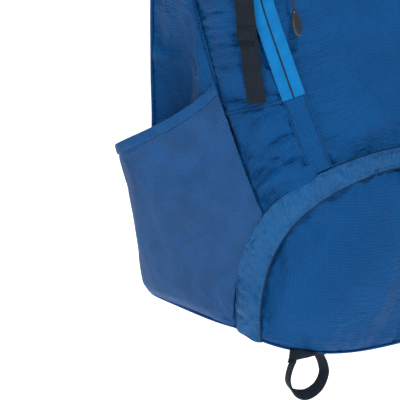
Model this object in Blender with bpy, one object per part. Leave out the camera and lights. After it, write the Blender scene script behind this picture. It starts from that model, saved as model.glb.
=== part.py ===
"""Hiking daypack with a hinged lid, mesh side pockets and a zipped bottom compartment.

Lengths here are millimetres in the pack's own frame: x to the wearer's right, y towards the
wearer's back, z up from the lowest point of the base. place() turns them into metres from
the point where the haul loop hangs on a hook. The wearer's left is the side with x below 0.
"""
import math

import bmesh
import bpy
from mathutils import Vector

MM = 0.001
HANG_POINT = Vector((0.0, 114.0, 434.0))

# Outer skin, by height: half width, y of the front centre, squareness of the front corners.
SKIN = (
    (0.0, 137.0, -113.0, 3.0),
    (40.0, 143.0, -129.0, 3.0),
    (100.0, 141.0, -135.0, 3.0),
    (196.0, 137.0, -126.0, 3.0),
    (248.0, 138.0, -105.0, 3.1),
    (339.0, 137.0, -73.0, 4.2),
    (436.0, 128.0, -46.0, 4.5),
)
CENTRE_Y = 20.0
REAR_Y = 105.0
REAR_SQUARENESS = 8.0
TOP_Z = 436.0
CLOTH = 2.4
GAP = 1.0
OVERLAY = 1.9

# Seams in the skin, as (angle from the front centre in degrees, height).
BASE_EDGE_Z = 26.0
BASE_EDGE_ANGLE = 62.5
BASE_EDGE_RISE = 2.4
ARCH_POWER = 2.5
ARCH_OUTER = (61.8, 196.0)
ARCH_SEAM = (57.0, 187.0)
ARCH_INNER = (52.2, 178.0)
ZIP_LINE = ((33.2, 186.0), (54.4, 327.0), (57.1, 348.0), (58.3, 364.0), (59.8, 436.0))
SIDE_SEAM = ((51.6, 141.0), (88.3, 332.0))
GUSSET_SEAM = (228.0, 248.0)
REAR_SEAM_ANGLE = 119.0
POCKET_ZIP_Z = 364.0
SIDE_ZIP_LOW_Z = 248.0
SIDE_ZIP_TOP_Z = 384.0

# Side pockets.
POCKET_FRONT_Z = 256.0
POCKET_DROP = 108.0
POCKET_DROP_EASE = 30.0
POCKET_BULGE = 52.0
POCKET_BULGE_LOW = 4.0
POCKET_BULGE_Z = 180.0
POCKET_HEM = 9.5
BOTTLE_DENT = 20.0
BOTTLE_Y = 54.0
BOTTLE_HALF = 40.0

# Lid.
LID_HALF_WIDTH = 136.0
LID_CENTRE_Y = 16.0
LID_FRONT_Y = -68.0
LID_REAR_Y = 104.0
LID_SQUARENESS = 5.0
LID_RIM_Z = 440.0
LID_RIM_DROP = 12.0
LID_BASE_Z = 470.0
LID_HINGE = Vector((0.0, 106.0, 440.0))
LID_ZIP_Z = 484.0

# Webbing, pads and hardware.
WEBBING = 1.8
STRAP_X = 129.0
ANCHOR_WIDTH = 18.0
ANCHOR_ROUTE = ((243.0, 127.4, 2.6), (275.0, 129.2, 2.6), (304.0, 130.6, 2.6),
                (340.0, 131.6, 3.0), (368.0, 131.2, 4.2))
LID_STRAP_WIDTH = 18.0
BUCKLE_Z = 404.0
SHOULDER_HINGE = Vector((0.0, 108.5, 402.0))
STERNUM_Z = 330.0
STERNUM_Y = 161.0
TAIL_X = 133.5
TAIL_LOW_Z = 301.0
TAIL_HIGH_Z = 350.0
LOOP_X = 91.0
LOOP_Y = -101.0
LOOP_Z = 1.0

# Sliders and their pulls.
SLIDER_LIFT = 5.2
SIDE_SLIDER_INSET = 17.0
POCKET_SLIDER_LIFT = 5.8
PULLER_X = 96.0
PULLER_DROP = 30.0
PULLER_LEAN = 0.30
PULLER_DIAMETER = 2.4
ARCH_SLIDER_Z = 167.0
ARCH_SLIDER_REACH = 80.0
ARCH_SLIDER_LIFT = 6.5
SLIDER_THICKNESS = 3.0
ZIP_HALF_WIDTH = 11.0
SMALL_ZIP_HALF_WIDTH = 6.0
ZIP_THICKNESS = 1.4
LID_ZIP_REACH = 46.0
# Stations of the puller's grip: distance from the cord's end, width and depth.
GRIP_STATIONS = ((0.4, 5.5, 5.0), (6.5, 9.5, 6.0), (14.5, 11.0, 6.0), (21.0, 9.5, 5.5),
                 (24.5, 5.5, 4.0))

# Back: pads, plastic sheet and stay, as lowest and highest corners.
BACK_PAD_X = (26.0, 88.0)
BACK_PAD_Y = (105.8, 116.0)
BACK_PAD_Z = (112.0, 384.0)
LUMBAR_PAD = ((-76.0, 105.8, 46.0), (76.0, 119.0, 104.0))
FRAME_SHEET = ((-98.0, 94.0, 52.0), (98.0, 96.0, 416.0))
FRAME_STAY = ((-12.0, 96.6, 64.0), (12.0, 99.6, 404.0))
PAD_BEVEL = 4.0

# Lid shell: height of each ring and how far it lies inside the rim, outside and inside the cloth.
LID_OUTER = ((464.0, 0.0), (484.0, 2.0), (497.0, 10.0), (506.0, 28.0), (510.0, 54.0))
LID_INNER = ((464.0, CLOTH), (483.0, 4.4), (495.0, 12.0), (503.6, 29.5), (507.4, 54.0))
LID_BASE_INSETS = (4.6, 60.0)

# Moulded plates as cells: '#' is plastic and '.' is open.
SLIDER_CELLS = ("###", "###", ".#.", ".#.")
PULL_CELLS = ("###", ".#.", ".#.")
PLUG_CELLS = ("#####", "#...#", "#####", ".###.", ".###.")
PLUG_COLUMNS = (3.5, 2.5, 12.0, 2.5, 3.5)
PLUG_ROWS = (3.0, 4.0, 4.0, 5.0, 8.0)
PLUG_THICKNESS = 3.2
LOCK_CELLS = ("#####", "#...#", "#####", "#...#", "#####")
LOCK_COLUMNS = (4.0, 2.0, 18.0, 2.0, 4.0)
LOCK_ROWS = (3.0, 3.5, 3.0, 3.5, 3.0)
LOCK_THICKNESS = 4.0
SOCKET_HALF = (13.0, 4.6, 13.0)
SOCKET_HOLE = (9.6, 3.0)
SOCKET_FLOOR = -9.0

# Centre line of the right shoulder pad: x, y, z, width and depth.
SHOULDER_PATH = (
    (48.0, 109.0, 402.0, 58.0, 4.0),
    (48.5, 122.0, 406.0, 60.0, 7.0),
    (50.0, 138.0, 399.0, 60.0, 12.0),
    (53.0, 147.0, 376.0, 60.0, 12.0),
    (58.0, 149.0, 338.0, 60.0, 12.0),
    (64.0, 147.0, 292.0, 57.0, 12.0),
    (70.0, 140.0, 246.0, 53.0, 11.0),
    (73.5, 132.0, 206.0, 46.0, 9.0),
    (75.0, 125.0, 178.0, 34.0, 6.0),
)
LOCK_PLACE = (75.6, 122.6, 167.0)
LOCK_LEAN = (-0.05, 0.22, 1.0)
# Webbing below the right shoulder pad: place, then the direction of its width.
SHOULDER_WEB = (
    (76.5, 120.4, 155.0, 1.0, 0.0, 0.0),
    (86.0, 117.6, 122.0, 1.0, 0.0, 0.3),
    (101.0, 113.6, 82.0, 1.0, -0.15, 0.4),
    (110.0, 109.6, 58.0, 1.0, -0.25, 0.4),
)
SHOULDER_WEB_WIDTH = 20.0
STERNUM_BUCKLE_X = 14.0
STERNUM_PLUG_X = 1.0
STERNUM_SPANS = (("sternum_webbing_left", -78.0, -11.8), ("sternum_webbing_right", 78.0, 28.0))

# Left half of each loop of webbing: place, then the direction of the webbing's width.
HAUL_HALF = (
    (-9.2, 107.6, 392.0, 1.0, 0.0, 0.0),
    (-12.5, 109.6, 406.0, 1.0, 0.2, 0.0),
    (-23.0, 112.8, 419.0, 0.6, 0.8, 0.0),
    (-14.0, 114.0, 432.0, 0.1, 1.0, 0.0),
    (0.0, 114.0, 435.0, 0.0, 1.0, 0.0),
)
HAUL_SECTION = (16.0, 2.0)
LOOP_HALF = (
    (-14.5, 0.0, 1.0, 0.3, 0.95, 0.0),
    (-19.5, 0.0, -9.0, 0.3, 0.95, 0.0),
    (-21.0, 0.0, -20.0, 0.25, 0.97, 0.0),
    (-14.0, 0.0, -31.5, 0.1, 0.85, 0.45),
    (0.0, 0.0, -36.5, 0.0, 0.7, 0.7),
)
LOOP_SECTION = (12.0, WEBBING)

# Cross sections of webbing and of pads, in shares of their width and thickness.
FLAT = ((-0.5, -0.5), (0.5, -0.5), (0.5, 0.5), (-0.5, 0.5))
PADDED = ((-0.5, -0.12), (-0.42, -0.5), (0.42, -0.5), (0.5, -0.12),
          (0.5, 0.12), (0.42, 0.5), (-0.42, 0.5), (-0.5, 0.12))

BLUE = (0.016, 0.072, 0.230)
LIGHT_BLUE = (0.030, 0.140, 0.330)
AZURE = (0.004, 0.165, 0.440)
MESH_BLUE = (0.025, 0.085, 0.240)
NAVY = (0.016, 0.030, 0.044)
BLACK = (0.015, 0.016, 0.018)
GREY = (0.040, 0.055, 0.075)
METAL = (0.60, 0.61, 0.63)

SIDES = (("left", -1.0), ("right", 1.0))


def clear_scene():
    for item in list(bpy.data.objects):
        bpy.data.objects.remove(item, do_unlink=True)


def material(name, colour, roughness, metallic=0.0):
    made = bpy.data.materials.get(name)
    if made:
        return made
    made = bpy.data.materials.new(name)
    made.use_nodes = True
    shader = made.node_tree.nodes["Principled BSDF"]
    shader.inputs["Base Color"].default_value = (*colour, 1.0)
    shader.inputs["Roughness"].default_value = roughness
    shader.inputs["Metallic"].default_value = metallic
    return made


def ripstop():
    return material("ripstop", BLUE, 0.55)


def shiny_ripstop():
    return material("shiny_ripstop", LIGHT_BLUE, 0.45)


def pocket_mesh():
    return material("pocket_mesh", MESH_BLUE, 0.75)


def zip_tape():
    return material("zip_tape", AZURE, 0.6)


def webbing():
    return material("webbing", NAVY, 0.8)


def foam():
    return material("foam", BLACK, 0.9)


def plastic():
    return material("plastic", GREY, 0.35)


def aluminium():
    return material("aluminium", METAL, 0.35, 1.0)


def place(point):
    """A point of the pack, in metres from the point it hangs on."""
    return (Vector(point) - HANG_POINT) * MM


def add_node(name, points, faces, finish, pivot=HANG_POINT):
    """Make one closed body, with its origin on its joint's axis."""
    mesh = bpy.data.meshes.new(name)
    origin = place(pivot)
    mesh.from_pydata([place(point) - origin for point in points], [], faces)
    shape = bmesh.new()
    shape.from_mesh(mesh)
    bmesh.ops.recalc_face_normals(shape, faces=shape.faces)
    shape.to_mesh(mesh)
    shape.free()
    mesh.materials.append(finish)
    node = bpy.data.objects.new(name, mesh)
    node.location = origin
    bpy.context.collection.objects.link(node)
    return node


def read_table(rows, z, column):
    """One column of a table by height, on a smooth curve through its rows."""
    z = min(max(z, rows[0][0]), rows[-1][0])
    low = 0
    while low < len(rows) - 2 and z > rows[low + 1][0]:
        low += 1

    def slope(i):
        before = rows[max(i - 1, 0)]
        after = rows[min(i + 1, len(rows) - 1)]
        return (after[column] - before[column]) / (after[0] - before[0])

    start, end = rows[low], rows[low + 1]
    span = end[0] - start[0]
    t = (z - start[0]) / span
    return (
        (2 * t**3 - 3 * t**2 + 1) * start[column]
        + (t**3 - 2 * t**2 + t) * span * slope(low)
        + (3 * t**2 - 2 * t**3) * end[column]
        + (t**3 - t**2) * span * slope(low + 1)
    )


def rounded_ring(angle, half_width, centre_y, front_y, rear_y, front_power, rear_power):
    """Point of a squared oval; angle 0 is its front, 90 the wearer's right, 180 its back."""
    sine = math.sin(math.radians(angle))
    cosine = math.cos(math.radians(angle))
    depth = centre_y - front_y
    power = front_power
    if cosine < 0.0:
        depth = rear_y - centre_y
        power = rear_power
    total = (abs(sine) / half_width) ** power + (abs(cosine) / depth) ** power
    reach = total ** (-1.0 / power)
    return reach * sine, centre_y - reach * cosine


def skin(angle, z, offset=0.0):
    """Point on the pack's outer skin, moved outwards by offset."""
    x, y = rounded_ring(
        angle,
        read_table(SKIN, z, 1) + offset,
        CENTRE_Y,
        read_table(SKIN, z, 2) - offset,
        REAR_Y + offset,
        read_table(SKIN, z, 3),
        REAR_SQUARENESS,
    )
    return Vector((x, y, z))


def front_skin(x, z, offset=0.0):
    """Point on the front of the skin at a given x."""
    power = read_table(SKIN, z, 3)
    width = read_table(SKIN, z, 1) + offset
    depth = CENTRE_Y - read_table(SKIN, z, 2) + offset
    y = CENTRE_Y - depth * (1.0 - (abs(x) / width) ** power) ** (1.0 / power)
    return Vector((x, y, z))


def lid_skin(angle, z, offset=0.0):
    x, y = rounded_ring(
        angle,
        LID_HALF_WIDTH + offset,
        LID_CENTRE_Y,
        LID_FRONT_Y - offset,
        LID_REAR_Y + offset,
        LID_SQUARENESS,
        REAR_SQUARENESS,
    )
    return Vector((x, y, z))


def edge_z(angle):
    """Height of the seam round the base."""
    return BASE_EDGE_Z * min(1.0, abs(angle) / BASE_EDGE_ANGLE) ** BASE_EDGE_RISE


def arch(size, t):
    """Seam round the bottom compartment, from its left foot (-1) to its right foot (1)."""
    half_angle, top = size
    foot = edge_z(half_angle)
    turn = math.pi / 2 * (1.0 - abs(t))
    angle = math.copysign(half_angle * max(math.cos(turn), 0.0) ** (2 / ARCH_POWER), t)
    return angle, foot + (top - foot) * math.sin(turn) ** (2 / ARCH_POWER)


def seam_angle(seam, z):
    k = 0
    while k < len(seam) - 2 and z > seam[k + 1][1]:
        k += 1
    (low_angle, low_z), (high_angle, high_z) = seam[k], seam[k + 1]
    return low_angle + (high_angle - low_angle) * (z - low_z) / (high_z - low_z)


def along_seam(seam, low_z, high_z, side=1.0):
    """The stretch of a seam between two heights, as a curve of seam coordinates."""
    def point(t):
        z = low_z + (high_z - low_z) * t
        return side * seam_angle(seam, z), z
    return point


def arch_meets(size, seam):
    """Where a straight seam comes down onto the arch, as the arch's own parameter."""
    low, high = 0.0, 1.0
    for _ in range(40):
        middle = (low + high) / 2
        angle, z = arch(size, middle)
        if angle < seam_angle(seam, z):
            low = middle
        else:
            high = middle
    return low


def line(start, end):
    return lambda t: (start[0] + (end[0] - start[0]) * t, start[1] + (end[1] - start[1]) * t)


def coons(bottom, right, top, left, columns, rows):
    """Grid of seam coordinates that fills the four curves round a panel."""
    grid = []
    for row in range(rows + 1):
        v = row / rows
        cells = []
        for column in range(columns + 1):
            u = column / columns
            cells.append(tuple(
                (1 - v) * bottom(u)[k] + v * top(u)[k] + (1 - u) * left(v)[k] + u * right(v)[k]
                - (1 - u) * (1 - v) * bottom(0)[k] - u * (1 - v) * bottom(1)[k]
                - (1 - u) * v * top(0)[k] - u * v * top(1)[k]
                for k in range(2)
            ))
        grid.append(cells)
    return grid


def slab_faces(rows, columns, round_trip=False):
    """Faces of a closed slab from an outer and an inner grid of points."""
    steps = columns if round_trip else columns - 1
    count = rows * columns

    def at(row, column, inner):
        return inner * count + row * columns + column % columns

    faces = []
    for row in range(rows - 1):
        for column in range(steps):
            quad = [(row, column), (row, column + 1), (row + 1, column + 1), (row + 1, column)]
            faces.append([at(r, c, 0) for r, c in quad])
            faces.append([at(r, c, 1) for r, c in reversed(quad)])
    for column in range(steps):
        for row in (0, rows - 1):
            faces.append([at(row, column, 0), at(row, column, 1),
                          at(row, column + 1, 1), at(row, column + 1, 0)])
    if not round_trip:
        for row in range(rows - 1):
            for column in (0, columns - 1):
                faces.append([at(row, column, 0), at(row + 1, column, 0),
                              at(row + 1, column, 1), at(row, column, 1)])
    return faces


def trim(points, gap=GAP):
    """Pull the border of a grid of points inwards, to leave a gap along its seams."""
    rows = len(points)
    columns = len(points[0])

    def towards(point, target):
        return (target - point).normalized() * gap

    moved = [[point.copy() for point in row] for row in points]
    for row in range(rows):
        moved[row][0] += towards(points[row][0], points[row][1])
        moved[row][-1] += towards(points[row][-1], points[row][-2])
    for column in range(columns):
        moved[0][column] += towards(points[0][column], points[1][column])
        moved[-1][column] += towards(points[-1][column], points[-2][column])
    return moved


def slab(name, outer, inner, finish, pivot=HANG_POINT, round_trip=False):
    points = [point for row in outer for point in row]
    points += [point for row in inner for point in row]
    faces = slab_faces(len(outer), len(outer[0]), round_trip)
    return add_node(name, points, faces, finish, pivot)


def bottle_dent(point):
    """How far the side is pushed in where a bottle sits."""
    across = min(abs(point.y - BOTTLE_Y) / BOTTLE_HALF, 1.0)
    low = min(max((point.z - BASE_EDGE_Z) / 40.0, 0.0), 1.0)
    high = min(max((330.0 - point.z) / 90.0, 0.0), 1.0)
    return BOTTLE_DENT * math.cos(math.pi / 2 * across) ** 2 * low * high


def panel(name, grid, finish, offset=0.0, thickness=CLOTH, dented=False):
    """Cloth panel of the skin, from a grid of seam coordinates."""
    layers = []
    for level in (offset, offset - thickness):
        points = [[skin(angle, z, level) for angle, z in row] for row in grid]
        if dented:
            for row in points:
                for point in row:
                    point.x -= math.copysign(bottle_dent(point), point.x)
        layers.append(trim(points))
    return slab(name, layers[0], layers[1], finish)


def mirrored_grid(grid, side):
    return [[(side * angle, z) for angle, z in row] for row in grid]


def strip_grid(start, end, samples):
    """Grid of a narrow strip between two seam curves, along t from 0 to 1."""
    grid = []
    for across in (0.0, 0.5, 1.0):
        row = []
        for i in range(samples + 1):
            t = i / samples
            a, b = start(t), end(t)
            row.append((a[0] + (b[0] - a[0]) * across, a[1] + (b[1] - a[1]) * across))
        grid.append(row)
    return grid


def smooth_path(controls, samples):
    """Points of a Catmull-Rom curve through the controls, each a list of numbers."""
    path = []
    spans = len(controls) - 1
    for i in range(samples + 1):
        place_on = i / samples * spans
        k = min(int(place_on), spans - 1)
        t = place_on - k
        p0 = controls[max(k - 1, 0)]
        p1 = controls[k]
        p2 = controls[k + 1]
        p3 = controls[min(k + 2, spans)]
        path.append([
            0.5 * (2 * b + (c - a) * t + (2 * a - 5 * b + 4 * c - d) * t**2
                   + (3 * b - a - 3 * c + d) * t**3)
            for a, b, c, d in zip(p0, p1, p2, p3)
        ])
    return path


def sweep(name, controls, samples, finish, outline=FLAT, pivot=HANG_POINT):
    """Strap or pad along a path. A control is (x, y, z, across x, y, z, width, thickness)."""
    stations = smooth_path(controls, samples)
    count = len(outline)
    points = []
    for i, station in enumerate(stations):
        centre = Vector(station[0:3])
        before = Vector(stations[max(i - 1, 0)][0:3])
        after = Vector(stations[min(i + 1, samples)][0:3])
        tangent = (after - before).normalized()
        across = Vector(station[3:6])
        across = (across - across.dot(tangent) * tangent).normalized()
        normal = tangent.cross(across)
        for u, v in outline:
            points.append(centre + across * (u * station[6]) + normal * (v * station[7]))
    faces = []
    for i in range(samples):
        for k in range(count):
            following = (k + 1) % count
            faces.append([i * count + k, i * count + following,
                          (i + 1) * count + following, (i + 1) * count + k])
    faces.append(list(range(count)))
    faces.append([samples * count + k for k in range(count)])
    return add_node(name, points, faces, finish, pivot)


def cell_plate(name, pattern, columns, rows, thickness, centre, across, up, finish, pivot):
    """Moulded plate cut in cells: '#' is solid. columns and rows are the cells' sizes."""
    across = across.normalized()
    up = (up - up.dot(across) * across).normalized()
    normal = across.cross(up)
    xs = [-sum(columns) / 2]
    for width in columns:
        xs.append(xs[-1] + width)
    zs = [sum(rows) / 2]
    for height in rows:
        zs.append(zs[-1] - height)
    shape = {}
    points = []
    faces = []

    def corner(i, j, level):
        key = (i, j, level)
        if key not in shape:
            shape[key] = len(points)
            points.append(centre + across * xs[i] + up * zs[j] + normal * (level * thickness / 2))
        return shape[key]

    def solid(i, j):
        return 0 <= j < len(pattern) and 0 <= i < len(pattern[j]) and pattern[j][i] == "#"

    for j in range(len(pattern)):
        for i in range(len(pattern[j])):
            if not solid(i, j):
                continue
            for level in (-1, 1):
                faces.append([corner(i, j, level), corner(i + 1, j, level),
                              corner(i + 1, j + 1, level), corner(i, j + 1, level)])
            walls = (
                (solid(i, j - 1), (i, j), (i + 1, j)),
                (solid(i, j + 1), (i, j + 1), (i + 1, j + 1)),
                (solid(i - 1, j), (i, j), (i, j + 1)),
                (solid(i + 1, j), (i + 1, j), (i + 1, j + 1)),
            )
            for filled, start, end in walls:
                if not filled:
                    faces.append([corner(*start, -1), corner(*end, -1),
                                  corner(*end, 1), corner(*start, 1)])
    return add_node(name, points, faces, finish, pivot)


def box_node(name, low, high, finish, bevel=0.0, pivot=HANG_POINT):
    x0, y0, z0 = low
    x1, y1, z1 = high
    points = [(x, y, z) for x in (x0, x1) for y in (y0, y1) for z in (z0, z1)]
    faces = [[0, 1, 3, 2], [4, 6, 7, 5], [0, 4, 5, 1], [2, 3, 7, 6], [0, 2, 6, 4], [1, 5, 7, 3]]
    node = add_node(name, points, faces, finish, pivot)
    if bevel:
        rounding = node.modifiers.new("rounding", "BEVEL")
        rounding.width = bevel * MM
        rounding.segments = 2
    return node


def on_line(seam, z):
    return seam_angle(seam, z), z


def make_skin_panels():
    """Back, sides, gussets, front and base: the cloth box that holds the load."""
    rear = (REAR_SEAM_ANGLE, 360.0 - REAR_SEAM_ANGLE)
    grid = coons(
        line((rear[0], BASE_EDGE_Z), (rear[1], BASE_EDGE_Z)),
        line((rear[1], BASE_EDGE_Z), (rear[1], TOP_Z)),
        line((rear[0], TOP_Z), (rear[1], TOP_Z)),
        line((rear[0], BASE_EDGE_Z), (rear[0], TOP_Z)),
        16, 10,
    )
    panel("back_panel", grid, ripstop())

    zip_foot = arch_meets(ARCH_SEAM, ZIP_LINE)
    seam_foot = arch_meets(ARCH_SEAM, SIDE_SEAM)
    seam_foot_point = arch(ARCH_SEAM, seam_foot)

    def side_front(z):
        if z >= seam_foot_point[1]:
            return seam_angle(SIDE_SEAM, z)
        low, high = seam_foot, 1.0
        for _ in range(30):
            middle = (low + high) / 2
            if arch(ARCH_SEAM, middle)[1] > z:
                low = middle
            else:
                high = middle
        return arch(ARCH_SEAM, low)[0]

    side_rows = [BASE_EDGE_Z + (seam_foot_point[1] - BASE_EDGE_Z) * i / 5 for i in range(6)]
    side_rows += [seam_foot_point[1] + (TOP_Z - seam_foot_point[1]) * i / 10 for i in range(1, 11)]
    side_grid = []
    for z in side_rows:
        front = side_front(z)
        side_grid.append([(front + (REAR_SEAM_ANGLE - front) * i / 12, z) for i in range(13)])

    low_left, low_right = GUSSET_SEAM
    lower = coons(
        lambda t: arch(ARCH_SEAM, zip_foot + (seam_foot - zip_foot) * t),
        line(seam_foot_point, on_line(SIDE_SEAM, low_left)),
        line(on_line(ZIP_LINE, low_right), on_line(SIDE_SEAM, low_left)),
        line(arch(ARCH_SEAM, zip_foot), on_line(ZIP_LINE, low_right)),
        5, 5,
    )
    upper = coons(
        line(on_line(ZIP_LINE, low_right), on_line(SIDE_SEAM, low_left)),
        line(on_line(SIDE_SEAM, low_left), on_line(SIDE_SEAM, TOP_Z)),
        line(on_line(ZIP_LINE, TOP_Z), on_line(SIDE_SEAM, TOP_Z)),
        along_seam(ZIP_LINE, low_right, TOP_Z),
        5, 9,
    )
    for word, side in SIDES:
        panel("side_panel_" + word, mirrored_grid(side_grid, side), ripstop(), dented=True)
        panel("lower_gusset_" + word, mirrored_grid(lower, side), ripstop())
        panel("gusset_" + word, mirrored_grid(upper, side), ripstop())

    middle_angle = seam_angle(ZIP_LINE, POCKET_ZIP_Z)
    foot = arch(ARCH_SEAM, zip_foot)
    front = coons(
        lambda t: arch(ARCH_SEAM, zip_foot * (2 * t - 1)),
        along_seam(ZIP_LINE, foot[1], POCKET_ZIP_Z),
        line((-middle_angle, POCKET_ZIP_Z), (middle_angle, POCKET_ZIP_Z)),
        along_seam(ZIP_LINE, foot[1], POCKET_ZIP_Z, -1.0),
        12, 8,
    )
    panel("front_panel", front, ripstop())
    top_angle = seam_angle(ZIP_LINE, TOP_Z)
    front_top = coons(
        line((-middle_angle, POCKET_ZIP_Z), (middle_angle, POCKET_ZIP_Z)),
        line((middle_angle, POCKET_ZIP_Z), (top_angle, TOP_Z)),
        line((-top_angle, TOP_Z), (top_angle, TOP_Z)),
        line((-middle_angle, POCKET_ZIP_Z), (-top_angle, TOP_Z)),
        12, 4,
    )
    panel("front_upper_panel", front_top, ripstop())


def make_compartment():
    """Bulging bottom compartment, its zip, the band that hides the zip, and the base."""
    corner = 0.62
    half_angle = ARCH_SEAM[0]
    grid = coons(
        lambda t: (half_angle * (2 * t - 1), edge_z(half_angle * (2 * t - 1))),
        lambda t: arch(ARCH_SEAM, 1.0 + (corner - 1.0) * t),
        lambda t: arch(ARCH_SEAM, corner * (2 * t - 1)),
        lambda t: arch(ARCH_SEAM, -1.0 + (1.0 - corner) * t),
        16, 9,
    )
    panel("compartment_panel", grid, ripstop())

    along = 30
    flap = strip_grid(
        lambda t: arch(ARCH_INNER, 2 * t - 1), lambda t: arch(ARCH_OUTER, 2 * t - 1), along)
    panel("arch_flap", flap, shiny_ripstop(), offset=2 * OVERLAY + 2.2, thickness=1.8)
    under = 0.45
    middle = (ARCH_INNER[0] + under, ARCH_INNER[1] - under)
    zip_grid = strip_grid(
        lambda t: arch((middle[0], middle[1]), 2 * t - 1),
        lambda t: arch((ARCH_SEAM[0] + 2.0, ARCH_SEAM[1] + 5.0), 2 * t - 1), along)
    panel("arch_zip", zip_grid, zip_tape(), offset=OVERLAY + 0.9, thickness=0.9)

    rings = (0.45, 0.6, 0.75, 0.87, 0.95)
    count = 32
    outer = []
    for scale in rings:
        ring = []
        for i in range(count):
            angle = 360.0 * i / count
            turned = angle if angle <= 180.0 else angle - 360.0
            rim = skin(angle, edge_z(turned))
            rise = ((scale - rings[0]) / (rings[-1] - rings[0])) ** 2
            ring.append(Vector((rim.x * scale, CENTRE_Y + (rim.y - CENTRE_Y) * scale,
                                edge_z(turned) * rise)))
        outer.append(ring)
    inner = [[point + Vector((0.0, 0.0, CLOTH)) for point in ring] for ring in outer]
    faces = []
    for face in slab_faces(len(rings), count, round_trip=True):
        closing = all(index % (len(rings) * count) < count for index in face)
        if not closing:
            faces.append(face)
    faces.append(list(range(count)))
    faces.append([len(rings) * count + i for i in range(count)])
    points = [point for ring in outer + inner for point in ring]
    add_node("bottom_panel", points, faces, webbing())


def make_collar():
    """Cloth ring round the mouth of the main compartment, gathered inwards under the lid."""
    levels = ((TOP_Z + 1.0, -5.0), (TOP_Z + 12.0, -7.0), (TOP_Z + 22.0, -13.0),
              (TOP_Z + 30.0, -26.0))
    count = 36
    outer = []
    inner = []
    for z, inset in levels:
        outer.append([skin(360.0 * i / count, TOP_Z, inset) for i in range(count)])
        inner.append([skin(360.0 * i / count, TOP_Z, inset - CLOTH) for i in range(count)])
        for point in outer[-1] + inner[-1]:
            point.z = z
    slab("collar", outer, inner, ripstop(), round_trip=True)


def pocket_point(side, s, z, offset):
    """Point of the mesh pocket; s runs from its front seam (0) to its rear seam (1)."""
    if z >= SIDE_SEAM[0][1]:
        front = seam_angle(SIDE_SEAM, z)
    else:
        drop = (SIDE_SEAM[0][1] - z) / (SIDE_SEAM[0][1] - BASE_EDGE_Z)
        front = SIDE_SEAM[0][0] + (BASE_EDGE_ANGLE - SIDE_SEAM[0][0]) * (1 - (1 - drop) ** 2)
    front += 2.0
    rear = REAR_SEAM_ANGLE - 1.0
    angle = front + (rear - front) * s
    swell = math.sin(math.pi * s**2.6) ** 0.55 if 0.0 < s < 1.0 else 0.0
    rise = (z - BASE_EDGE_Z) / (POCKET_BULGE_Z - BASE_EDGE_Z)
    bulge = (POCKET_BULGE_LOW + (POCKET_BULGE - POCKET_BULGE_LOW) * rise) * swell
    point = skin(angle, z, offset)
    return Vector((side * (point.x + bulge), point.y, z))


def make_side_pockets():
    columns, rows = 14, 8
    shares = [i / columns for i in range(columns + 1)]

    def top(s):
        return POCKET_FRONT_Z - POCKET_DROP * s + POCKET_DROP_EASE * s**2

    for word, side in SIDES:
        layers = []
        hems = []
        for level in (OVERLAY + 1.6, OVERLAY):
            layers.append([
                [pocket_point(side, s, BASE_EDGE_Z + (top(s) - POCKET_HEM - 0.6 - BASE_EDGE_Z)
                              * row / rows, level) for s in shares]
                for row in range(rows + 1)
            ])
        for level in (OVERLAY + 2.2, OVERLAY - 0.2):
            hems.append([
                [pocket_point(side, s, top(s) - POCKET_HEM * (1 - row), level) for s in shares]
                for row in range(2)
            ])
        slab("mesh_pocket_" + word, layers[0], layers[1], pocket_mesh())
        slab("pocket_hem_" + word, hems[0], hems[1], zip_tape())


def skin_strip(name, centre, half_width, samples, finish, offset, thickness):
    """Strip of zip tape that lies on the skin along a line of seam coordinates."""
    grid = []
    for share in (-1.0, 0.0, 1.0):
        row = []
        for i in range(samples + 1):
            angle, z = centre(i / samples)
            reach = skin(angle, z).xy - Vector((0.0, CENTRE_Y))
            spread = math.degrees(half_width / reach.length) * share
            row.append((angle + spread, z))
        grid.append(row)
    panel(name, grid, finish, offset=offset, thickness=thickness)


def slider_plate(name, centre, along, out, finish, pivot):
    """Zip slider with its pull tab lying below it."""
    across = along.cross(out)
    cell_plate(name, SLIDER_CELLS, (2.5, 4.0, 2.5), (4.0, 5.0, 6.0, 12.0), SLIDER_THICKNESS,
               centre, across, along, finish, pivot)


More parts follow.
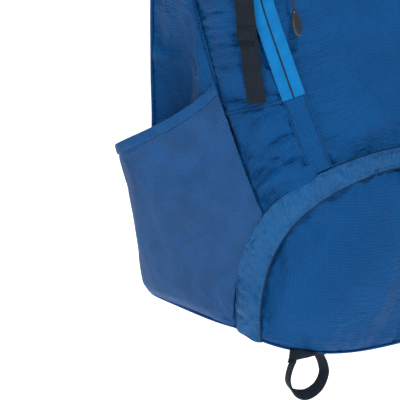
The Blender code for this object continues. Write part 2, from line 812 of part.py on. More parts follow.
def make_zips():
    """Zip tapes on the front, and the sliders that run on them."""
    for word, side in SIDES:
        route = along_seam(ZIP_LINE, SIDE_ZIP_LOW_Z, SIDE_ZIP_TOP_Z, side)
        skin_strip("side_zip_" + word, route, ZIP_HALF_WIDTH, 12, zip_tape(),
                   OVERLAY + ZIP_THICKNESS, ZIP_THICKNESS)
        foot = skin(*route(0.0), OVERLAY + SLIDER_LIFT)
        head = skin(*route(1.0), OVERLAY + SLIDER_LIFT)
        along = (head - foot).normalized()
        centre = head - along * SIDE_SLIDER_INSET
        out = Vector((side * 0.55, -0.8, 0.0))
        out = (out - out.dot(along) * along).normalized()
        slider_plate("side_slider_" + word, centre, along, out, plastic(), centre)

    reach = seam_angle(ZIP_LINE, POCKET_ZIP_Z) - 6.5
    half = SMALL_ZIP_HALF_WIDTH
    grid = strip_grid(line((-reach, POCKET_ZIP_Z - half), (reach, POCKET_ZIP_Z - half)),
                      line((-reach, POCKET_ZIP_Z + half), (reach, POCKET_ZIP_Z + half)), 12)
    panel("pocket_zip", grid, zip_tape(), offset=OVERLAY + ZIP_THICKNESS,
          thickness=ZIP_THICKNESS)

    slider_y = front_skin(0.0, POCKET_ZIP_Z).y - OVERLAY - POCKET_SLIDER_LIFT
    slider = Vector((-PULLER_X, slider_y, POCKET_ZIP_Z))
    cell_plate("pocket_slider", ("###", "###"), (3.5, 4.0, 3.5), (5.0, 4.0),
               SLIDER_THICKNESS, slider, Vector((1.0, 0.0, 0.0)), Vector((0.0, 0.0, 1.0)), plastic(), slider)
    route = puller_route(slider)
    make_cord("puller_cord", route, PULLER_DIAMETER, webbing(), route[0])
    tip = route[-1]
    lean = (route[-1] - route[-2]).normalized()
    side_ways = (1.0, 0.0, 0.0)
    stations = [(*(tip + lean * reach), *side_ways, width, depth)
                for reach, width, depth in GRIP_STATIONS]
    sweep("puller_grip", stations, 8, plastic(), PADDED, route[0])


def puller_route(slider):
    """The puller's cord, from the slider's eye down along the front of the pack."""
    start = slider + Vector((0.0, -1.4, -6.0))
    shares = (0.0, 0.2, 0.4, 0.6, 0.8, 1.0)
    drop = PULLER_DROP
    return [start + Vector((0.0, -drop * PULLER_LEAN * s, -drop * s)) for s in shares]


def make_cord(name, route, diameter, finish, pivot):
    """Plain round cord as a bevelled curve with filled ends."""
    curve = bpy.data.curves.new(name, "CURVE")
    curve.dimensions = "3D"
    curve.bevel_depth = diameter / 2 * MM
    curve.bevel_resolution = 2
    curve.use_fill_caps = True
    spline = curve.splines.new("POLY")
    spline.points.add(len(route) - 1)
    origin = place(pivot)
    for point, target in zip(spline.points, route):
        point.co = (*(place(target) - origin), 1.0)
    curve.materials.append(finish)
    node = bpy.data.objects.new(name, curve)
    node.location = origin
    bpy.context.collection.objects.link(node)


def arch_slider_circle():
    """Centre and axis of the circle that the arch zip's sliders follow round the front."""
    top = front_skin(0.0, ARCH_SLIDER_Z, ARCH_SLIDER_LIFT)
    far_z = arch(ARCH_INNER, 0.36)[1] - (ARCH_INNER[1] - ARCH_SLIDER_Z)
    far = front_skin(ARCH_SLIDER_REACH, far_z, ARCH_SLIDER_LIFT)
    drop = Vector((0.0, far.y - top.y, far.z - top.z))
    radius = (ARCH_SLIDER_REACH**2 + drop.length_squared) / (2 * drop.length)
    centre = top + drop.normalized() * radius
    axis = Vector((1.0, 0.0, 0.0)).cross(drop).normalized()
    return centre, axis, top


def make_arch_sliders():
    centre, axis, top = arch_slider_circle()
    for word, side in SIDES:
        spot = top + Vector((side * 5.2, 0.0, -1.0))
        cell_plate("arch_slider_" + word, PULL_CELLS, (2.2, 3.2, 2.2), (7.0, 5.0, 9.0),
                   2.6, spot, Vector((1.0, 0.0, 0.0)), Vector((0.0, 0.0, 1.0)), plastic(), centre)


def make_back():
    """Pads against the wearer, and the sheet and stay that stiffen the back."""
    for word, side in SIDES:
        low_x, high_x = sorted(side * x for x in BACK_PAD_X)
        box_node("back_pad_" + word, (low_x, BACK_PAD_Y[0], BACK_PAD_Z[0]),
                 (high_x, BACK_PAD_Y[1], BACK_PAD_Z[1]), foam(), PAD_BEVEL)
    box_node("lumbar_pad", *LUMBAR_PAD, foam(), PAD_BEVEL)
    box_node("frame_sheet", *FRAME_SHEET, plastic())
    box_node("frame_stay", *FRAME_STAY, aluminium())


def make_lid():
    """Domed lid with a zipped pocket, hinged along the top of the back."""
    count = 36
    angles = [360.0 * i / count for i in range(count)]

    def ring(z, inset, drop=0.0):
        points = []
        for angle in angles:
            fall = drop * (1.0 + math.cos(math.radians(angle))) / 2
            points.append(lid_skin(angle, z - fall, -inset))
        return points

    outer = [ring(LID_RIM_Z, 0.0, LID_RIM_DROP)] + [ring(z, inset) for z, inset in LID_OUTER]
    inner = [ring(LID_RIM_Z, CLOTH, LID_RIM_DROP)] + [ring(z, inset) for z, inset in LID_INNER]
    levels = len(outer)
    faces = []
    for face in slab_faces(levels, count, round_trip=True):
        closing = all(index % (levels * count) >= (levels - 1) * count for index in face)
        if not closing:
            faces.append(face)
    faces.append([(levels - 1) * count + i for i in range(count)])
    faces.append([(2 * levels - 1) * count + i for i in range(count)])
    points = [point for row in outer + inner for point in row]
    add_node("lid_top", points, faces, ripstop(), LID_HINGE)

    base = [ring(LID_BASE_Z + CLOTH, inset) for inset in LID_BASE_INSETS]
    under = [ring(LID_BASE_Z, inset) for inset in LID_BASE_INSETS]
    faces = [face for face in slab_faces(2, count, round_trip=True)
             if not all(index % (2 * count) >= count for index in face)]
    faces.append([count + i for i in range(count)])
    faces.append([3 * count + i for i in range(count)])
    add_node("lid_base", [point for row in base + under for point in row], faces,
             ripstop(), LID_HINGE)

    reach = LID_ZIP_REACH
    half = SMALL_ZIP_HALF_WIDTH
    outer = []
    inner = []
    for z in (LID_ZIP_Z - half, LID_ZIP_Z + half):
        slope = 0.06 * (z - LID_ZIP_Z)
        outer.append([lid_skin(-reach + 2 * reach * i / 12, z, 2.6 - slope) for i in range(13)])
        inner.append([lid_skin(-reach + 2 * reach * i / 12, z, 1.2 - slope) for i in range(13)])
    slab("lid_zip", outer, inner, zip_tape(), LID_HINGE)
    centre = Vector((-76.0, LID_FRONT_Y - 5.4, LID_ZIP_Z - 8.0))
    cell_plate("lid_slider", PULL_CELLS, (3.0, 3.6, 3.0), (9.0, 5.0, 13.0), SLIDER_THICKNESS, centre,
               Vector((1.0, 0.0, 0.0)), Vector((0.0, 0.0, 1.0)), plastic(), centre)


def buckle_frame(side):
    """Middle, up and across of a lid buckle, set along the arc that its plug leaves on."""
    middle = front_skin(side * STRAP_X, BUCKLE_Z, 9.5)
    arm = middle - LID_HINGE
    up = Vector((0.0, arm.z, -arm.y)).normalized()
    across = Vector((0.54, side * 0.84, 0.0))
    across = (across - across.dot(up) * up).normalized()
    return middle, up, across


def make_lid_straps():
    """Webbing and side-release buckles that hold the lid down."""
    for word, side in SIDES:
        middle, up, across = buckle_frame(side)
        out = across.cross(up)
        if out.y > 0.0:
            out = -out
        wide = tuple(across)
        anchor = []
        for z, x, lift in ANCHOR_ROUTE:
            spot = front_skin(side * x, z, OVERLAY + WEBBING / 2 + lift)
            anchor.append((*spot, *wide, ANCHOR_WIDTH, WEBBING))
        anchor.append((*(middle - up * 19.5), *wide, ANCHOR_WIDTH, WEBBING))
        sweep("strap_anchor_" + word, anchor, 16, webbing())

        make_socket("buckle_socket_" + word, middle - up * 1.0, up, across, HANG_POINT)
        plug = middle + up * 12.0
        cell_plate("buckle_plug_" + word, PLUG_CELLS, PLUG_COLUMNS, PLUG_ROWS, PLUG_THICKNESS,
                   plug, across, up, plastic(), LID_HINGE)

        turned = (0.78, side * 0.62, 0.0)
        rim = middle + up * 38.0 + out * 2.0
        strap = (
            (*(middle + up * 25.0 + out * 2.0), *turned, LID_STRAP_WIDTH, WEBBING),
            (*rim, *turned, LID_STRAP_WIDTH, WEBBING),
            (*(rim + Vector((0.0, 1.0, 16.0))), *turned, LID_STRAP_WIDTH, WEBBING),
        )
        sweep("lid_strap_" + word, strap, 6, webbing(), pivot=LID_HINGE)
        hem = front_skin(side * TAIL_X, TAIL_LOW_Z, OVERLAY + WEBBING + 4.2)
        tail = (
            (*(middle + up * 21.5 + out * 3.2), *wide, LID_STRAP_WIDTH, WEBBING),
            (*(middle + up * 10.0 + out * 7.6), *wide, LID_STRAP_WIDTH, WEBBING),
            (*(middle - up * 18.0 + out * 7.6), *wide, LID_STRAP_WIDTH, WEBBING),
            (*front_skin(side * TAIL_X, TAIL_HIGH_Z, OVERLAY + WEBBING + 5.6), *wide,
             LID_STRAP_WIDTH, WEBBING),
            (*(hem + Vector((0.0, 0.0, 9.0))), *wide, LID_STRAP_WIDTH, WEBBING),
            (*hem, *wide, LID_STRAP_WIDTH, 1.6 * WEBBING),
        )
        sweep("strap_tail_" + word, tail, 20, webbing(), pivot=LID_HINGE)


def make_socket(name, centre, up, across, pivot):
    """Open-topped buckle socket; the plug's prong drops into it."""
    normal = across.cross(up)
    half = SOCKET_HALF
    hole = SOCKET_HOLE
    floor = SOCKET_FLOOR

    def point(x, n, h):
        return centre + across * x + normal * n + up * h

    def loop(width, depth, height):
        corners = ((-1, -1), (1, -1), (1, 1), (-1, 1))
        return [point(i * width, k * depth, height) for i, k in corners]

    rings = [loop(half[0], half[1], -half[2]), loop(half[0], half[1], half[2] - 4.0),
             loop(half[0] - 1.0, half[1], half[2]), loop(hole[0], hole[1], half[2]),
             loop(hole[0], hole[1], floor)]
    points = [spot for ring in rings for spot in ring]
    faces = []
    for ring in range(len(rings) - 1):
        for k in range(4):
            following = (k + 1) % 4
            faces.append([ring * 4 + k, ring * 4 + following,
                          ring * 4 + 4 + following, ring * 4 + 4 + k])
    faces.append([0, 1, 2, 3])
    faces.append([16, 17, 18, 19])
    add_node(name, points, faces, plastic(), pivot)


def make_shoulder_straps():
    """Padded shoulder straps, their adjusters and the strap across the chest."""
    wide = (1.0, 0.0, 0.0)
    for word, side in SIDES:
        pivot = Vector((side * SHOULDER_PATH[0][0], SHOULDER_HINGE.y, SHOULDER_HINGE.z))
        pads = [(side * x, y, z, *wide, width, depth)
                for x, y, z, width, depth in SHOULDER_PATH]
        sweep("shoulder_pad_" + word, pads, 22, foam(), PADDED, pivot)
        lock = Vector((side * LOCK_PLACE[0], *LOCK_PLACE[1:]))
        lean = Vector((side * LOCK_LEAN[0], *LOCK_LEAN[1:]))
        cell_plate("ladder_lock_" + word, LOCK_CELLS, LOCK_COLUMNS, LOCK_ROWS, LOCK_THICKNESS,
                   lock, Vector(wide), lean, plastic(), pivot)
        web = [(side * x, y, z, a, side * b, side * c, SHOULDER_WEB_WIDTH, WEBBING)
               for x, y, z, a, b, c in SHOULDER_WEB]
        sweep("shoulder_webbing_" + word, web, 12, webbing())

    up = Vector((1.0, 0.0, 0.0))
    across = Vector((0.0, 0.0, 1.0))
    buckle = Vector((STERNUM_BUCKLE_X, STERNUM_Y, STERNUM_Z))
    make_socket("sternum_socket", buckle, -up, across, buckle)
    plug = Vector((STERNUM_PLUG_X, STERNUM_Y, STERNUM_Z))
    cell_plate("sternum_plug", PLUG_CELLS, PLUG_COLUMNS, PLUG_ROWS, PLUG_THICKNESS,
               plug, across, -up, plastic(), plug)
    for name, outer_x, inner_x in STERNUM_SPANS:
        places = ((outer_x, 3.0), ((outer_x + inner_x) / 2, 1.0), (inner_x, 0.0))
        controls = [(x, STERNUM_Y - sag, STERNUM_Z, *across, SHOULDER_WEB_WIDTH, WEBBING)
                    for x, sag in places]
        sweep(name, controls, 6, webbing(), pivot=Vector((outer_x, STERNUM_Y, STERNUM_Z)))


def both_halves(half):
    """A loop's controls from its left half, whose last control is the middle of the loop."""
    return list(half) + [(-x, y, z, -a, b, c) for x, y, z, a, b, c in reversed(half[:-1])]


def make_loops():
    """Haul loop at the top of the back, and the two gear loops under the front."""
    controls = [(*values, *HAUL_SECTION) for values in both_halves(HAUL_HALF)]
    sweep("haul_loop", controls, 22, webbing())

    for word, side in SIDES:
        pivot = Vector((side * LOOP_X, LOOP_Y, LOOP_Z))
        controls = [
            (pivot.x + x, pivot.y + y, pivot.z + z, a, b, c, *LOOP_SECTION)
            for x, y, z, a, b, c in both_halves(LOOP_HALF)
        ]
        sweep("bottom_loop_" + word, controls, 22, webbing(), pivot=pivot)


def build():
    clear_scene()
    make_skin_panels()
    make_compartment()
    make_collar()
    make_side_pockets()
    make_zips()
    make_arch_sliders()
    make_back()
    make_lid()
    make_lid_straps()
    make_shoulder_straps()
    make_loops()


build()
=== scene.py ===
"""Looks of the hiking daypack: cloth, mesh, webbing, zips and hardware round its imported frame.

Lengths are millimetres in the pack's own frame, as in the part's source: x to the wearer's
right, y towards the wearer's back, z up from the lowest point of the base. metres() turns them
into the row frame. Seams are given as (angle from the front centre in degrees, height).
"""
import math

import bmesh
import bpy
import numpy as np
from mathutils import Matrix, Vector


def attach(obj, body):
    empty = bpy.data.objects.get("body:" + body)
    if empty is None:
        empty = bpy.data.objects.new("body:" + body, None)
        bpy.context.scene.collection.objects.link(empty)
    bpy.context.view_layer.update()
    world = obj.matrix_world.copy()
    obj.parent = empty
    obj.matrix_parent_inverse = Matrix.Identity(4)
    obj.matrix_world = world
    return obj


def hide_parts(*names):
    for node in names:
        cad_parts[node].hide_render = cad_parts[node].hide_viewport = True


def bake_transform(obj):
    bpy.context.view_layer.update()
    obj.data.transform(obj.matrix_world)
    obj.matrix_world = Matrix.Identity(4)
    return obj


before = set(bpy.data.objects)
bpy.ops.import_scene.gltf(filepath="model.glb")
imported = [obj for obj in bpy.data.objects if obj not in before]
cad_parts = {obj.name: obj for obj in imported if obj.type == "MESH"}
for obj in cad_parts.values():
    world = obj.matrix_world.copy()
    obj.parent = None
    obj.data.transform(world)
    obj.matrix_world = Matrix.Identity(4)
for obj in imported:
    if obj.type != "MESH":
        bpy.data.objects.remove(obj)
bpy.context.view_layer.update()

MM = 0.001
HANG_POINT = np.array((0.0, 114.0, 434.0))

# The pack's skin, by height: half width, y of the front centre, squareness of the front.
SKIN = (
    (0.0, 137.0, -113.0, 3.0),
    (40.0, 143.0, -129.0, 3.0),
    (100.0, 141.0, -135.0, 3.0),
    (196.0, 137.0, -126.0, 3.0),
    (248.0, 138.0, -105.0, 3.1),
    (339.0, 137.0, -73.0, 4.2),
    (436.0, 128.0, -46.0, 4.5),
)
CENTRE_Y = 20.0
REAR_Y = 105.0
REAR_SQUARENESS = 8.0
TOP_Z = 436.0
OVERLAY = 1.9

BASE_EDGE_Z = 26.0
BASE_EDGE_ANGLE = 62.5
BASE_EDGE_RISE = 2.4
ARCH_POWER = 2.5
ARCH_OUTER = (61.8, 196.0)
ARCH_SEAM = (57.0, 187.0)
ARCH_INNER = (52.2, 178.0)
ZIP_LINE = ((33.2, 186.0), (54.4, 327.0), (57.1, 348.0), (58.3, 364.0), (59.8, 436.0))
SIDE_SEAM = ((51.6, 141.0), (88.3, 332.0))
GUSSET_SEAM = (228.0, 248.0)
REAR_SEAM_ANGLE = 119.0
POCKET_ZIP_Z = 364.0
SIDE_ZIP_LOW_Z = 248.0
SIDE_ZIP_TOP_Z = 384.0

POCKET_FRONT_Z = 256.0
POCKET_DROP = 108.0
POCKET_DROP_EASE = 30.0
POCKET_BULGE = 52.0
POCKET_BULGE_LOW = 4.0
POCKET_BULGE_Z = 180.0
POCKET_HEM = 9.5
BOTTLE_DENT = 20.0
BOTTLE_Y = 54.0
BOTTLE_HALF = 40.0

# Webbing, buckles and loops.
WEBBING = 1.8
STRAP_X = 129.0
ANCHOR_WIDTH = 18.0
ANCHOR_ROUTE = ((243.0, 127.4, 2.6), (275.0, 129.2, 2.6), (304.0, 130.6, 2.6),
                (340.0, 131.6, 3.0), (368.0, 131.2, 4.2))
LID_STRAP_WIDTH = 18.0
TAIL_X = 133.5
TAIL_LOW_Z = 301.0
TAIL_HIGH_Z = 350.0
BUCKLE_Z = 404.0
SOCKET_REACH = 19.5
# The folded foot of a strap's tail: height above its end, and thickness.
TAIL_HEM = ((12.5, 2.6), (11.5, 3.8), (6.0, 3.7), (1.0, 4.0), (0.0, 2.8))
TAIL_TACK = 9.6
LOOP_X = 91.0
LOOP_Y = -101.0
LOOP_Z = 1.0

# Sliders and their pulls.
SLIDER_LIFT = 5.2
SIDE_SLIDER_INSET = 17.0
POCKET_SLIDER_LIFT = 5.8
PULLER_X = 96.0
PULLER_DROP = 30.0
PULLER_LEAN = 0.30
CORD_RADIUS = 1.2
CORD_POINTS = 16
ARCH_SLIDER_Z = 167.0
ARCH_SLIDER_X = 5.2
LID_SLIDER_X = 76.0

# The lid, and the straps behind the pack.
LID_HINGE = np.array((0.0, 106.0, 440.0))
HINGE_HALF = 112.0
HINGE_Z = (423.0, 455.0)
LID_HALF_WIDTH = 136.0
LID_CENTRE_Y = 16.0
LID_FRONT_Y = -68.0
LID_REAR_Y = 104.0
LID_SQUARENESS = 5.0
LID_RIM_Z = 440.0
LID_RIM_DROP = 12.0
LID_SEAM_Z = 497.0
LID_TOP_Z = 510.0
LID_BASE_Z = 470.0
LID_ZIP_Z = 484.0
LID_ZIP_REACH = 46.0
STERNUM_Z = 330.0
STERNUM_Y = 161.0

CLOTH = 0.9
BAND_CLEARANCE = 4.8
GRID_STEP = 2.6
TUBE_STEP = 2.5
COIL_PITCH = 1.35
COIL_HIGH = 0.9
COIL_WIRE = 0.36

# Colours, linear.
BLUE = (0.0018, 0.0605, 0.202)
LIGHT_BLUE = (0.003, 0.088, 0.262)
HEM_BLUE = (0.006, 0.068, 0.215)
AZURE = (0.0, 0.165, 0.450)
MESH_BLUE = (0.014, 0.079, 0.236)
THREAD_BLUE = (0.020, 0.110, 0.300)
DEEP_BLUE = (0.004, 0.022, 0.075)
NAVY = (0.008, 0.014, 0.023)
BLACK = (0.012, 0.013, 0.016)
GREY = (0.022, 0.028, 0.038)
METAL = (0.60, 0.61, 0.63)

SIDES = (("left", -1.0), ("right", 1.0))
RIGHT = np.array((1.0, 0.0, 0.0))
UP = np.array((0.0, 0.0, 1.0))
FORWARD = np.array((0.0, -1.0, 0.0))

# Stitches: pitch, length and radius of the thread.
STITCH = (3.1, 2.2, 0.32)
FINE_STITCH = (2.8, 2.0, 0.26)
COARSE_STITCH = (3.1, 2.2, 0.46)
TACK_STITCH = (1.9, 1.5, 0.34)


# ---------------------------------------------------------------- numbers on arrays


def metres(points):
    return (np.asarray(points, float) - HANG_POINT) * MM


def unit(vectors):
    vectors = np.asarray(vectors, float)
    return vectors / np.maximum(np.linalg.norm(vectors, axis=-1, keepdims=True), 1e-9)


def table_value(z, column):
    """One column of the skin's table at a height, on a smooth curve through its rows."""
    low = 0
    while low < len(SKIN) - 2 and z > SKIN[low + 1][0]:
        low += 1

    def slope(i):
        before, after = SKIN[max(i - 1, 0)], SKIN[min(i + 1, len(SKIN) - 1)]
        return (after[column] - before[column]) / (after[0] - before[0])

    start, end = SKIN[low], SKIN[low + 1]
    span = end[0] - start[0]
    t = (z - start[0]) / span
    return (
        (2 * t**3 - 3 * t**2 + 1) * start[column]
        + (t**3 - 2 * t**2 + t) * span * slope(low)
        + (3 * t**2 - 2 * t**3) * end[column]
        + (t**3 - t**2) * span * slope(low + 1)
    )


TABLE_Z = np.arange(0.0, TOP_Z + 1.0)
TABLE = [np.array([table_value(z, column) for z in TABLE_Z]) for column in (1, 2, 3)]


def oval(angle, z, half_width, centre_y, front_y, rear_y, front_power, rear_power):
    """Points of squared ovals; angle 0 is the front, 90 the wearer's right, 180 the back."""
    sine, cosine = np.sin(np.radians(angle)), np.cos(np.radians(angle))
    depth = np.where(cosine < 0.0, rear_y - centre_y, centre_y - front_y)
    power = np.where(cosine < 0.0, rear_power, front_power)
    total = (np.abs(sine) / half_width) ** power + (np.abs(cosine) / depth) ** power
    reach = total ** (-1.0 / power)
    return np.stack([reach * sine, centre_y - reach * cosine, z + 0.0 * reach], -1)


def skin(angle, z, offset=0.0):
    angle, z = np.asarray(angle, float), np.asarray(z, float)
    width, front, power = (np.interp(z, TABLE_Z, column) for column in TABLE)
    return oval(angle, z, width + offset, CENTRE_Y, front - offset, REAR_Y + offset,
                power, REAR_SQUARENESS)


def front_skin(x, z, offset=0.0):
    """Point on the front of the skin at a given x."""
    width, front, power = (np.interp(z, TABLE_Z, column) for column in TABLE)
    depth = CENTRE_Y - front + offset
    y = CENTRE_Y - depth * (1.0 - (np.abs(x) / (width + offset)) ** power) ** (1.0 / power)
    return np.array((x, y, z), float)


def edge_z(angle):
    """Height of the seam round the base."""
    return BASE_EDGE_Z * np.minimum(1.0, np.abs(angle) / BASE_EDGE_ANGLE) ** BASE_EDGE_RISE


def arch(size, t):
    """Seam round the bottom compartment, from its left foot (-1) to its right foot (1)."""
    half_angle, top = size
    foot = edge_z(half_angle)
    turn = np.pi / 2 * (1.0 - np.abs(t))
    power = 2 / ARCH_POWER
    angle = np.sign(t) * half_angle * np.maximum(np.cos(turn), 0.0) ** power
    return np.stack([angle, foot + (top - foot) * np.maximum(np.sin(turn), 0.0) ** power], -1)


def seam_angle(seam, z):
    knots = np.array(seam)
    z = np.asarray(z, float)
    k = np.clip(np.searchsorted(knots[:, 1], z) - 1, 0, len(knots) - 2)
    low, high = knots[k], knots[k + 1]
    share = (z - low[..., 1]) / (high[..., 1] - low[..., 1])
    return low[..., 0] + (high[..., 0] - low[..., 0]) * share


def along_seam(seam, low_z, high_z, side=1.0):
    def curve(t):
        z = low_z + (high_z - low_z) * np.asarray(t, float)
        return np.stack([side * seam_angle(seam, z), z], -1)
    return curve


def on_line(seam, z):
    return float(seam_angle(seam, z)), z


def arch_meets(size, seam):
    """Where a straight seam comes down onto the arch, as the arch's own parameter."""
    low, high = 0.0, 1.0
    for _ in range(40):
        middle = (low + high) / 2
        angle, z = arch(size, middle)
        if angle < seam_angle(seam, z):
            low = middle
        else:
            high = middle
    return low


def line(start, end):
    start, end = np.array(start, float), np.array(end, float)
    return lambda t: start + (end - start) * np.asarray(t, float)[..., None]


def coons(bottom, right, top, left, columns, rows):
    """Grid of seam coordinates that fills the four curves round a panel."""
    u, v = np.linspace(0.0, 1.0, columns + 1), np.linspace(0.0, 1.0, rows + 1)
    low, high = bottom(u)[None], top(u)[None]
    near, far = left(v)[:, None], right(v)[:, None]
    u, v = u[None, :, None], v[:, None, None]
    corners = (
        (1 - u) * (1 - v) * low[:, :1] + u * (1 - v) * low[:, -1:]
        + (1 - u) * v * high[:, :1] + u * v * high[:, -1:]
    )
    return (1 - v) * low + v * high + (1 - u) * near + u * far - corners


def four_sided(first, second, third, fourth, columns, rows):
    """Grid between four corners, joined by straight seams."""
    return coons(line(first, second), line(second, third), line(fourth, third),
                 line(first, fourth), columns, rows)


def mirrored(grid, side):
    """A grid of seam coordinates for one side, its columns kept in the order of their angle."""
    return grid if side > 0 else (grid * (-1.0, 1.0))[:, ::-1]


def noise(x, y, seed):
    """Smooth noise from -1 to 1 with one feature per unit."""
    size = 61
    lattice = np.random.default_rng(seed).uniform(-1.0, 1.0, (size, size))
    column, row = np.floor(x).astype(int), np.floor(y).astype(int)
    fx, fy = x - column, y - row
    fx, fy = fx * fx * (3 - 2 * fx), fy * fy * (3 - 2 * fy)

    def at(i, j):
        return lattice[(column + i) % size, (row + j) % size]

    low = at(0, 0) * (1 - fx) + at(1, 0) * fx
    high = at(0, 1) * (1 - fx) + at(1, 1) * fx
    return low * (1 - fy) + high * fy


def near(distance, reach):
    """1 at a seam, falling to 0 over reach."""
    return np.exp(-((distance / reach) ** 2))


def smooth_path(controls, samples):
    """Points of a Catmull-Rom curve through the controls, each a list of numbers."""
    controls = np.array(controls, float)
    spans = len(controls) - 1
    place = np.linspace(0.0, spans, samples + 1)
    k = np.minimum(place.astype(int), spans - 1)
    t = (place - k)[:, None]
    a, b = controls[np.maximum(k - 1, 0)], controls[k]
    c, d = controls[k + 1], controls[np.minimum(k + 2, spans)]
    return 0.5 * (2 * b + (c - a) * t + (2 * a - 5 * b + 4 * c - d) * t**2
                  + (3 * b - a - 3 * c + d) * t**3)


def both_halves(half):
    """A path of rows (x, y, z, and the direction across) carried on to its mirror image."""
    return [*half, *((-x, y, z, -a, b, c) for x, y, z, a, b, c in reversed(half[:-1]))]


def distances(path):
    """How far along a path each of its points is."""
    return np.concatenate([[0.0], np.cumsum(np.linalg.norm(np.diff(path, axis=0), axis=1))])


def resample(path, step):
    """The same line with points a step apart, and how far along it each one is."""
    path = np.asarray(path, float)
    place = distances(path)
    count = max(int(round(place[-1] / step)), 1)
    at = np.linspace(0.0, place[-1], count + 1)
    return np.stack([np.interp(at, place, path[:, k]) for k in range(path.shape[1])], -1), at


def line_axes(row, step):
    """Points a step apart on a row, with the directions along, outward and sideways at each."""
    path, place = resample(np.concatenate(row, -1), step)
    centre, out = path[:, :3], unit(path[:, 3:])
    along = unit(np.gradient(centre, axis=0))
    return centre, out, unit(np.cross(along, out)), place


def circles(first, second, turn):
    """Unit circles spanned by two directions, one circle for each pair of them."""
    return first[:, None] * np.cos(turn)[:, None] + second[:, None] * np.sin(turn)[:, None]


def quads(rows, columns):
    """Faces of a grid of points, and the numbers of its points."""
    index = np.arange(rows * columns).reshape(rows, columns)
    faces = np.stack([index[:-1, :-1], index[:-1, 1:], index[1:, 1:], index[1:, :-1]], -1)
    return faces.reshape(-1, 4), index


# ---------------------------------------------------------------- materials


class Graph:
    """Short way to write a material's nodes."""

    def __init__(self, name):
        self.material = bpy.data.materials.new(name)
        self.material.use_nodes = True
        self.tree = self.material.node_tree
        self.shader = self.tree.nodes["Principled BSDF"]

    def put(self, value, socket):
        if isinstance(value, bpy.types.NodeSocket):
            self.tree.links.new(value, socket)
        else:
            socket.default_value = value

    def node(self, kind, inputs=(), **settings):
        made = self.tree.nodes.new(kind)
        for name, value in settings.items():
            setattr(made, name, value)
        for key, value in dict(inputs).items():
            self.put(value, made.inputs[key])
        return made

    def math(self, operation, a, b=0.0):
        return self.node("ShaderNodeMath", {0: a, 1: b}, operation=operation).outputs[0]

    def times(self, a, b):
        return self.math("MULTIPLY", a, b)

    def plus(self, a, b):
        return self.math("ADD", a, b)

    def ramp(self, value, low, high, to_low=0.0, to_high=1.0):
        return self.node(
            "ShaderNodeMapRange",
            {"Value": value, "From Min": low, "From Max": high,
             "To Min": to_low, "To Max": to_high},
            interpolation_type="SMOOTHSTEP",
        ).outputs["Result"]

    def mix(self, share, a, b):
        made = self.tree.nodes.new("ShaderNodeMix")
        made.data_type = "RGBA"
        self.put(share, made.inputs[0])
        self.put((*a, 1.0) if isinstance(a, tuple) else a, made.inputs[6])
        self.put((*b, 1.0) if isinstance(b, tuple) else b, made.inputs[7])
        return made.outputs[2]

    def weave(self):
        """The cloth's own coordinates, in millimetres along and across its threads."""
        found = self.node("ShaderNodeUVMap", uv_map="weave").outputs[0]
        parts = self.node("ShaderNodeSeparateXYZ", {0: found}).outputs
        return self.times(parts[0], 1.0 / MM), self.times(parts[1], 1.0 / MM)

    def place(self):
        return self.node("ShaderNodeTexCoord").outputs["Object"]

    def speckle(self, size, detail=3.0):
        """Cloudy variation whose features are size millimetres wide."""
        inputs = {"Vector": self.place(), "Scale": 1.0 / (size * MM), "Detail": detail}
        return self.node("ShaderNodeTexNoise", inputs).outputs[0]

    def mottled(self, colour, size, dark, light, high=0.7):
        """The colour in patches size millimetres wide, from dark to light times as bright."""
        return self.mix(self.ramp(self.speckle(size), 0.3, high), shade(colour, dark),
                        shade(colour, light))

    def ripples(self, u, v, long, wide):
        """Shallow wrinkles, long by wide millimetres, that lie across the cloth's length."""
        place = self.node("ShaderNodeCombineXYZ", {
            0: self.math("DIVIDE", u, long), 1: self.math("DIVIDE", v, wide)}).outputs[0]
        inputs = {"Vector": place, "Scale": 1.0, "Detail": 1.0}
        return self.node("ShaderNodeTexNoise", inputs).outputs[0]

    def cycle(self, value, pitch, shift=0.0):
        """A wave from 0 to 1 and back, once in each pitch."""
        turned = self.plus(self.math("DIVIDE", value, pitch), shift)
        saw = self.math("SUBTRACT", self.math("FRACT", turned), 0.5)
        return self.times(self.math("ABSOLUTE", saw), 2.0)

    def bump(self, height, depth):
        inputs = {"Height": height, "Distance": depth * MM, "Strength": 1.0}
        made = self.node("ShaderNodeBump", inputs)
        self.put(made.outputs[0], self.shader.inputs["Normal"])

    def finish(self, colour, roughness, **values):
        self.put(colour, self.shader.inputs["Base Color"])
        self.put(roughness, self.shader.inputs["Roughness"])
        for name, value in values.items():
            self.shader.inputs[name.replace("_", " ")].default_value = value
        return self.material


def shade(colour, factor):
    return tuple(channel * factor for channel in colour)


THREAD_PITCH = 0.45
MESH_PITCH = 2.7
SPACER_PITCH = 4.2
RIB_PITCH = 1.3
RIB_ROWS = 3.4
BRAID_PITCH = 1.5


